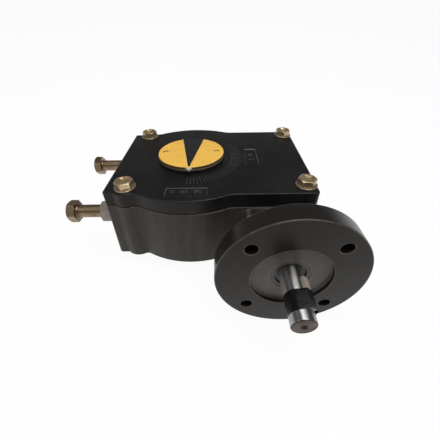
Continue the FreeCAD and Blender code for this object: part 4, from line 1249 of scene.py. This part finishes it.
def make_shaft():
    """Worm and input shaft in one piece, with a centre hole in its end."""
    end, rear = -shaft_low.y, -shaft_high.y
    profile = Outline(0, rear)
    profile.line((shaft_radius - shaft_chamfer, rear), (shaft_radius, rear + shaft_chamfer),
                 (shaft_radius, -worm_seat), (worm_root_radius, -worm_seat), (worm_root_radius, worm_seat),
                 (shaft_radius, worm_seat), (shaft_radius, end - shaft_chamfer))
    profile.arc(shaft_radius - shaft_chamfer, end - shaft_chamfer, QUARTER_TURN, steps=4)
    profile.line((centre_hole_radius + centre_hole_chamfer, end),
                 (centre_hole_radius, end - centre_hole_chamfer), (0, end - sqrt(3) * centre_hole_radius))
    bm = turned(profile, flange_segments)
    root = worm_root_radius - worm_thread_sink
    ridge = Outline(root, worm_half_length - worm_thread_half_root)
    ridge.line((worm_tip_radius, worm_half_length - worm_thread_half_tip),
               (worm_tip_radius, worm_half_length + worm_thread_half_tip),
               (root, worm_half_length + worm_thread_half_root))
    turns = 2 * worm_half_length / worm_lead
    steps = worm_thread_steps * int(turns)
    join(bm, wound(ridge, -2 * worm_half_length / steps, -turns * FULL_TURN, steps))
    finish_piece(bm, "shaft_and_worm", "input_shaft", ground_steel, ["worm_shaft"], TO_FRONT)


key_edge_round = 0.4 * MM


def make_key():
    bm = bmesh.new()
    start, end = -key_high.y, -key_low.y
    size = Matrix.Diagonal((key_height, 2 * key_half_width, end - start, 1))
    place = at(key_reach - key_height / 2, 0, (start + end) / 2)
    bmesh.ops.create_cube(bm, size=1.0, matrix=place @ size)
    round_edges(bm, bm.edges[:], key_edge_round)
    finish_piece(bm, "drive_key", "input_shaft", key_steel, ["input_key"], KEY_TO_FRONT)


# Places along the tape, as shares of its length, and its thickness there in millimetres
tape_wraps = ((0.0, 0.10), (0.01, 0.20), (0.34, 0.20), (0.35, 0.38), (0.64, 0.38), (0.65, 0.22), (0.92, 0.22),
              (0.99, 0.18), (1.0, 0.10))
tape_bare = 5.0 * MM
tape_overhang = 1.0 * MM
tape_cling = 0.05 * MM
tape_lap = 0.3 * MM


def tape_outline(height, grow):
    """A taut wrap around the shaft and its key."""
    corner_distance = hypot(key_reach, key_half_width)
    lean = atan2(key_half_width, key_reach) + acos(shaft_radius / corner_distance)
    half = Outline(-shaft_radius - grow, 0, height)
    half.arc(0, 0, HALF_TURN - lean, steps=24)
    half.line((key_reach + grow * cos(lean), -key_half_width - grow * sin(lean)))
    half.arc(key_reach, -key_half_width, lean, steps=5)
    half.line((key_reach + grow, 0))
    return half.mirrored("Y")


def make_tape():
    """Tape in overlapping wraps that keeps the key in place for transport."""
    start, end = -tape_high.y + tape_bare, -key_low.y + tape_overhang
    outlines = [tape_outline(start + tape_lap, tape_cling)]
    outlines += [tape_outline(start + share * (end - start), grow * MM) for share, grow in tape_wraps]
    outlines.append(tape_outline(end - tape_lap, tape_cling))
    bm = bmesh.new()
    first, last = skin(bm, outlines)
    bmesh.ops.bridge_loops(bm, edges=first + last)
    finish_piece(bm, "tape_wrap", "input_shaft", tape, ["key_tape"], KEY_TO_FRONT)


seal_gap = 0.3 * MM
seal_mouth = 3.6 * MM
seal_lip_depth = 3.0 * MM
seal_bend_share = 0.8


def make_shaft_seal():
    """Seal in the floor of the recess, painted over with the flange, and open around the shaft."""
    inside = shaft_radius + seal_gap
    face, back = -seal_low.y, -seal_high.y
    profile = Outline(inside, back)
    profile.line((seal_radius, back), (seal_radius, face), (inside + seal_mouth, face),
                 (inside + seal_bend_share * seal_mouth, face - seal_bend_share * seal_lip_depth),
                 (inside, face - seal_lip_depth), (inside, back))
    finish_piece(turned(profile, disc_segments), "shaft_seal", "gearbox_body", painted_rubber,
                 ["input_seal"], TO_FRONT)


make_base_casting()
make_seam_gasket()
make_lid_casting()
make_scale_ticks()
make_plaque("front_plaque", front_plaque)
make_plaque("side_plaque", side_plaque)
make_numbers("front_numbers", "0  45  90", front_plaque)
make_numbers("side_numbers", "0  90", side_plaque)
make_input_flange()
make_bore_cap()
make_lid_fasteners()
make_foot_bolts("flange_foot_bolts", "input_flange_bolts", foot_front, -foot_bolt_low.y, -foot_bolt_high.y,
                TO_FRONT)
make_foot_bolts("bore_cap_bolts", "rear_cap_bolts", cap_high.y, cap_bolt_high.y, cap_bolt_low.y, TO_BACK)
make_stop_bolt("front_stop_screw", "front_stop", "stop_bolt_front", -stop_half_spacing, clock=-22.0)
make_stop_bolt("rear_stop_screw", "rear_stop", "stop_bolt_rear", stop_half_spacing, clock=17.0)
make_stop_nuts()
make_pointer_disc()
make_dial()
make_dial_nose()
make_dial_screws()
make_shaft()
make_key()
make_tape()
make_shaft_seal()

inner_finishes = {
    "quadrant": ductile_iron, "drive_sleeve": ground_steel, "sleeve_key": key_steel,
    "lower_bush": bronze, "upper_bush": bronze, "thrust_washer": bronze,
    "lower_o_ring": rubber, "upper_o_ring": rubber,
}
for end in ("front", "rear"):
    for ring in ("outer_ring", "rollers", "inner_ring"):
        inner_finishes[f"{end}_bearing_{ring}"] = bearing_steel
for name, finish in inner_finishes.items():
    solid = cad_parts[name]
    solid.data.materials.clear()
    solid.data.materials.append(finish)


# Stage, light and camera

flange_rest = Vector((89.9, -121.5, -27.0)) * MM
left_rest = Vector((-62.6, 76.3, 0.0)) * MM
drum_rest = Vector((-15.0, 85.1, 0.0)) * MM
floor_radius = 8.0
floor_colour = (0.86, 0.86, 0.86)
floor_white_share = 0.95


def mixed(tree, share, first, second):
    """One shader laid over another."""
    mix = node(tree, "MixShader", Fac=share)
    feed(tree, first, mix.inputs[1])
    feed(tree, second, mix.inputs[2])
    return mix.outputs["Shader"]


def make_floor():
    """Pale floor under the flange's rim and the back edge of the base, on which the gearbox rests."""
    normal = (left_rest - flange_rest).cross(drum_rest - flange_rest).normalized()
    if normal.z < 0:
        normal.negate()
    bm = bmesh.new()
    bmesh.ops.create_circle(bm, cap_ends=True, radius=floor_radius, segments=disc_segments)
    lean = Vector((0, 0, 1)).rotation_difference(normal).to_matrix().to_4x4()
    bmesh.ops.transform(bm, matrix=at(*flange_rest) @ lean, verts=bm.verts)
    floor = new_object(bm, "floor")
    material = bpy.data.materials.new("pale_floor")
    tree = cleared_nodes(material)
    rays = node(tree, "LightPath").outputs
    seen = reckon(tree, "MAXIMUM", rays["Is Camera Ray"], rays["Is Glossy Ray"])
    seen = reckon(tree, "MAXIMUM", seen, rays["Is Transmission Ray"])
    share = reckon(tree, "MULTIPLY", seen, floor_white_share)
    matt = node(tree, "BsdfDiffuse", Color=floor_colour).outputs["BSDF"]
    white = node(tree, "Emission").outputs["Emission"]
    clear = node(tree, "BsdfTransparent").outputs["BSDF"]
    back = node(tree, "NewGeometry").outputs["Backfacing"]
    side_shaded = mixed(tree, back, mixed(tree, share, matt, white), clear)
    node(tree, "OutputMaterial", Surface=side_shaded)
    floor.data.materials.append(material)


sky_fade_height = 0.24
horizon_strength = 0.95
overhead_strength = 0.12


def make_world():
    """White near the horizon, dimmer overhead."""
    scene.world = bpy.data.worlds.new("studio")
    tree = cleared_nodes(scene.world)
    rise = node(tree, "SeparateXYZ", Vector=place_in(tree, "Generated")).outputs["Z"]
    strength = ranged(tree, rise, start=0.0, end=sky_fade_height, To_Min=horizon_strength,
                      To_Max=overhead_strength)
    sky = node(tree, "Background", Strength=strength)
    node(tree, "OutputWorld", Surface=sky.outputs["Background"])


def make_lamp(name, place, target, width, depth, power):
    lamp = bpy.data.lights.new(name, "AREA")
    lamp.shape = "RECTANGLE"
    lamp.size = width
    lamp.size_y = depth
    lamp.energy = power
    holder = bpy.data.objects.new(name, lamp)
    aim = (Vector(target) - Vector(place)).to_track_quat("-Z", "Y").to_matrix().to_4x4()
    holder.matrix_world = at(*place) @ aim
    scene.collection.objects.link(holder)


focal_pixels = 258.36
picture_pixels = 440
sensor_width = 36.0
camera_place = Vector((32.0, -274.2, 215.6)) * MM
camera_pitch, camera_yaw, camera_roll = (radians(angle) for angle in (40.0, -0.12, -0.79))
nearest_seen = 0.01
farthest_seen = 50.0


def make_camera():
    """A close, wide camera that looks down on the gearbox from the front."""
    level_ahead = Vector((sin(camera_yaw), cos(camera_yaw), 0))
    ahead = level_ahead * cos(camera_pitch) - Vector((0, 0, sin(camera_pitch)))
    level = Vector((cos(camera_yaw), -sin(camera_yaw), 0))
    upward = level.cross(ahead)
    right = cos(camera_roll) * level + sin(camera_roll) * upward
    up = cos(camera_roll) * upward - sin(camera_roll) * level
    camera = bpy.data.cameras.new("camera")
    camera.sensor_width = sensor_width
    camera.lens = sensor_width * focal_pixels / picture_pixels
    camera.clip_start = nearest_seen
    camera.clip_end = farthest_seen
    holder = bpy.data.objects.new("camera", camera)
    holder.matrix_world = at(*camera_place) @ Matrix((right, up, -ahead)).transposed().to_4x4()
    scene.collection.objects.link(holder)
    scene.camera = holder


make_floor()
make_world()
make_lamp("overhead_softbox", place=(0.22, -0.25, 1.20), target=(0.05, -0.05, 0.04), width=0.6, depth=1.4,
          power=16.5)
make_lamp("left_softbox", place=(-0.9, -0.5, 0.9), target=(0.0, 0.0, 0.04), width=0.8, depth=0.8, power=2.0)
make_camera()
scene.view_settings.view_transform = "Standard"
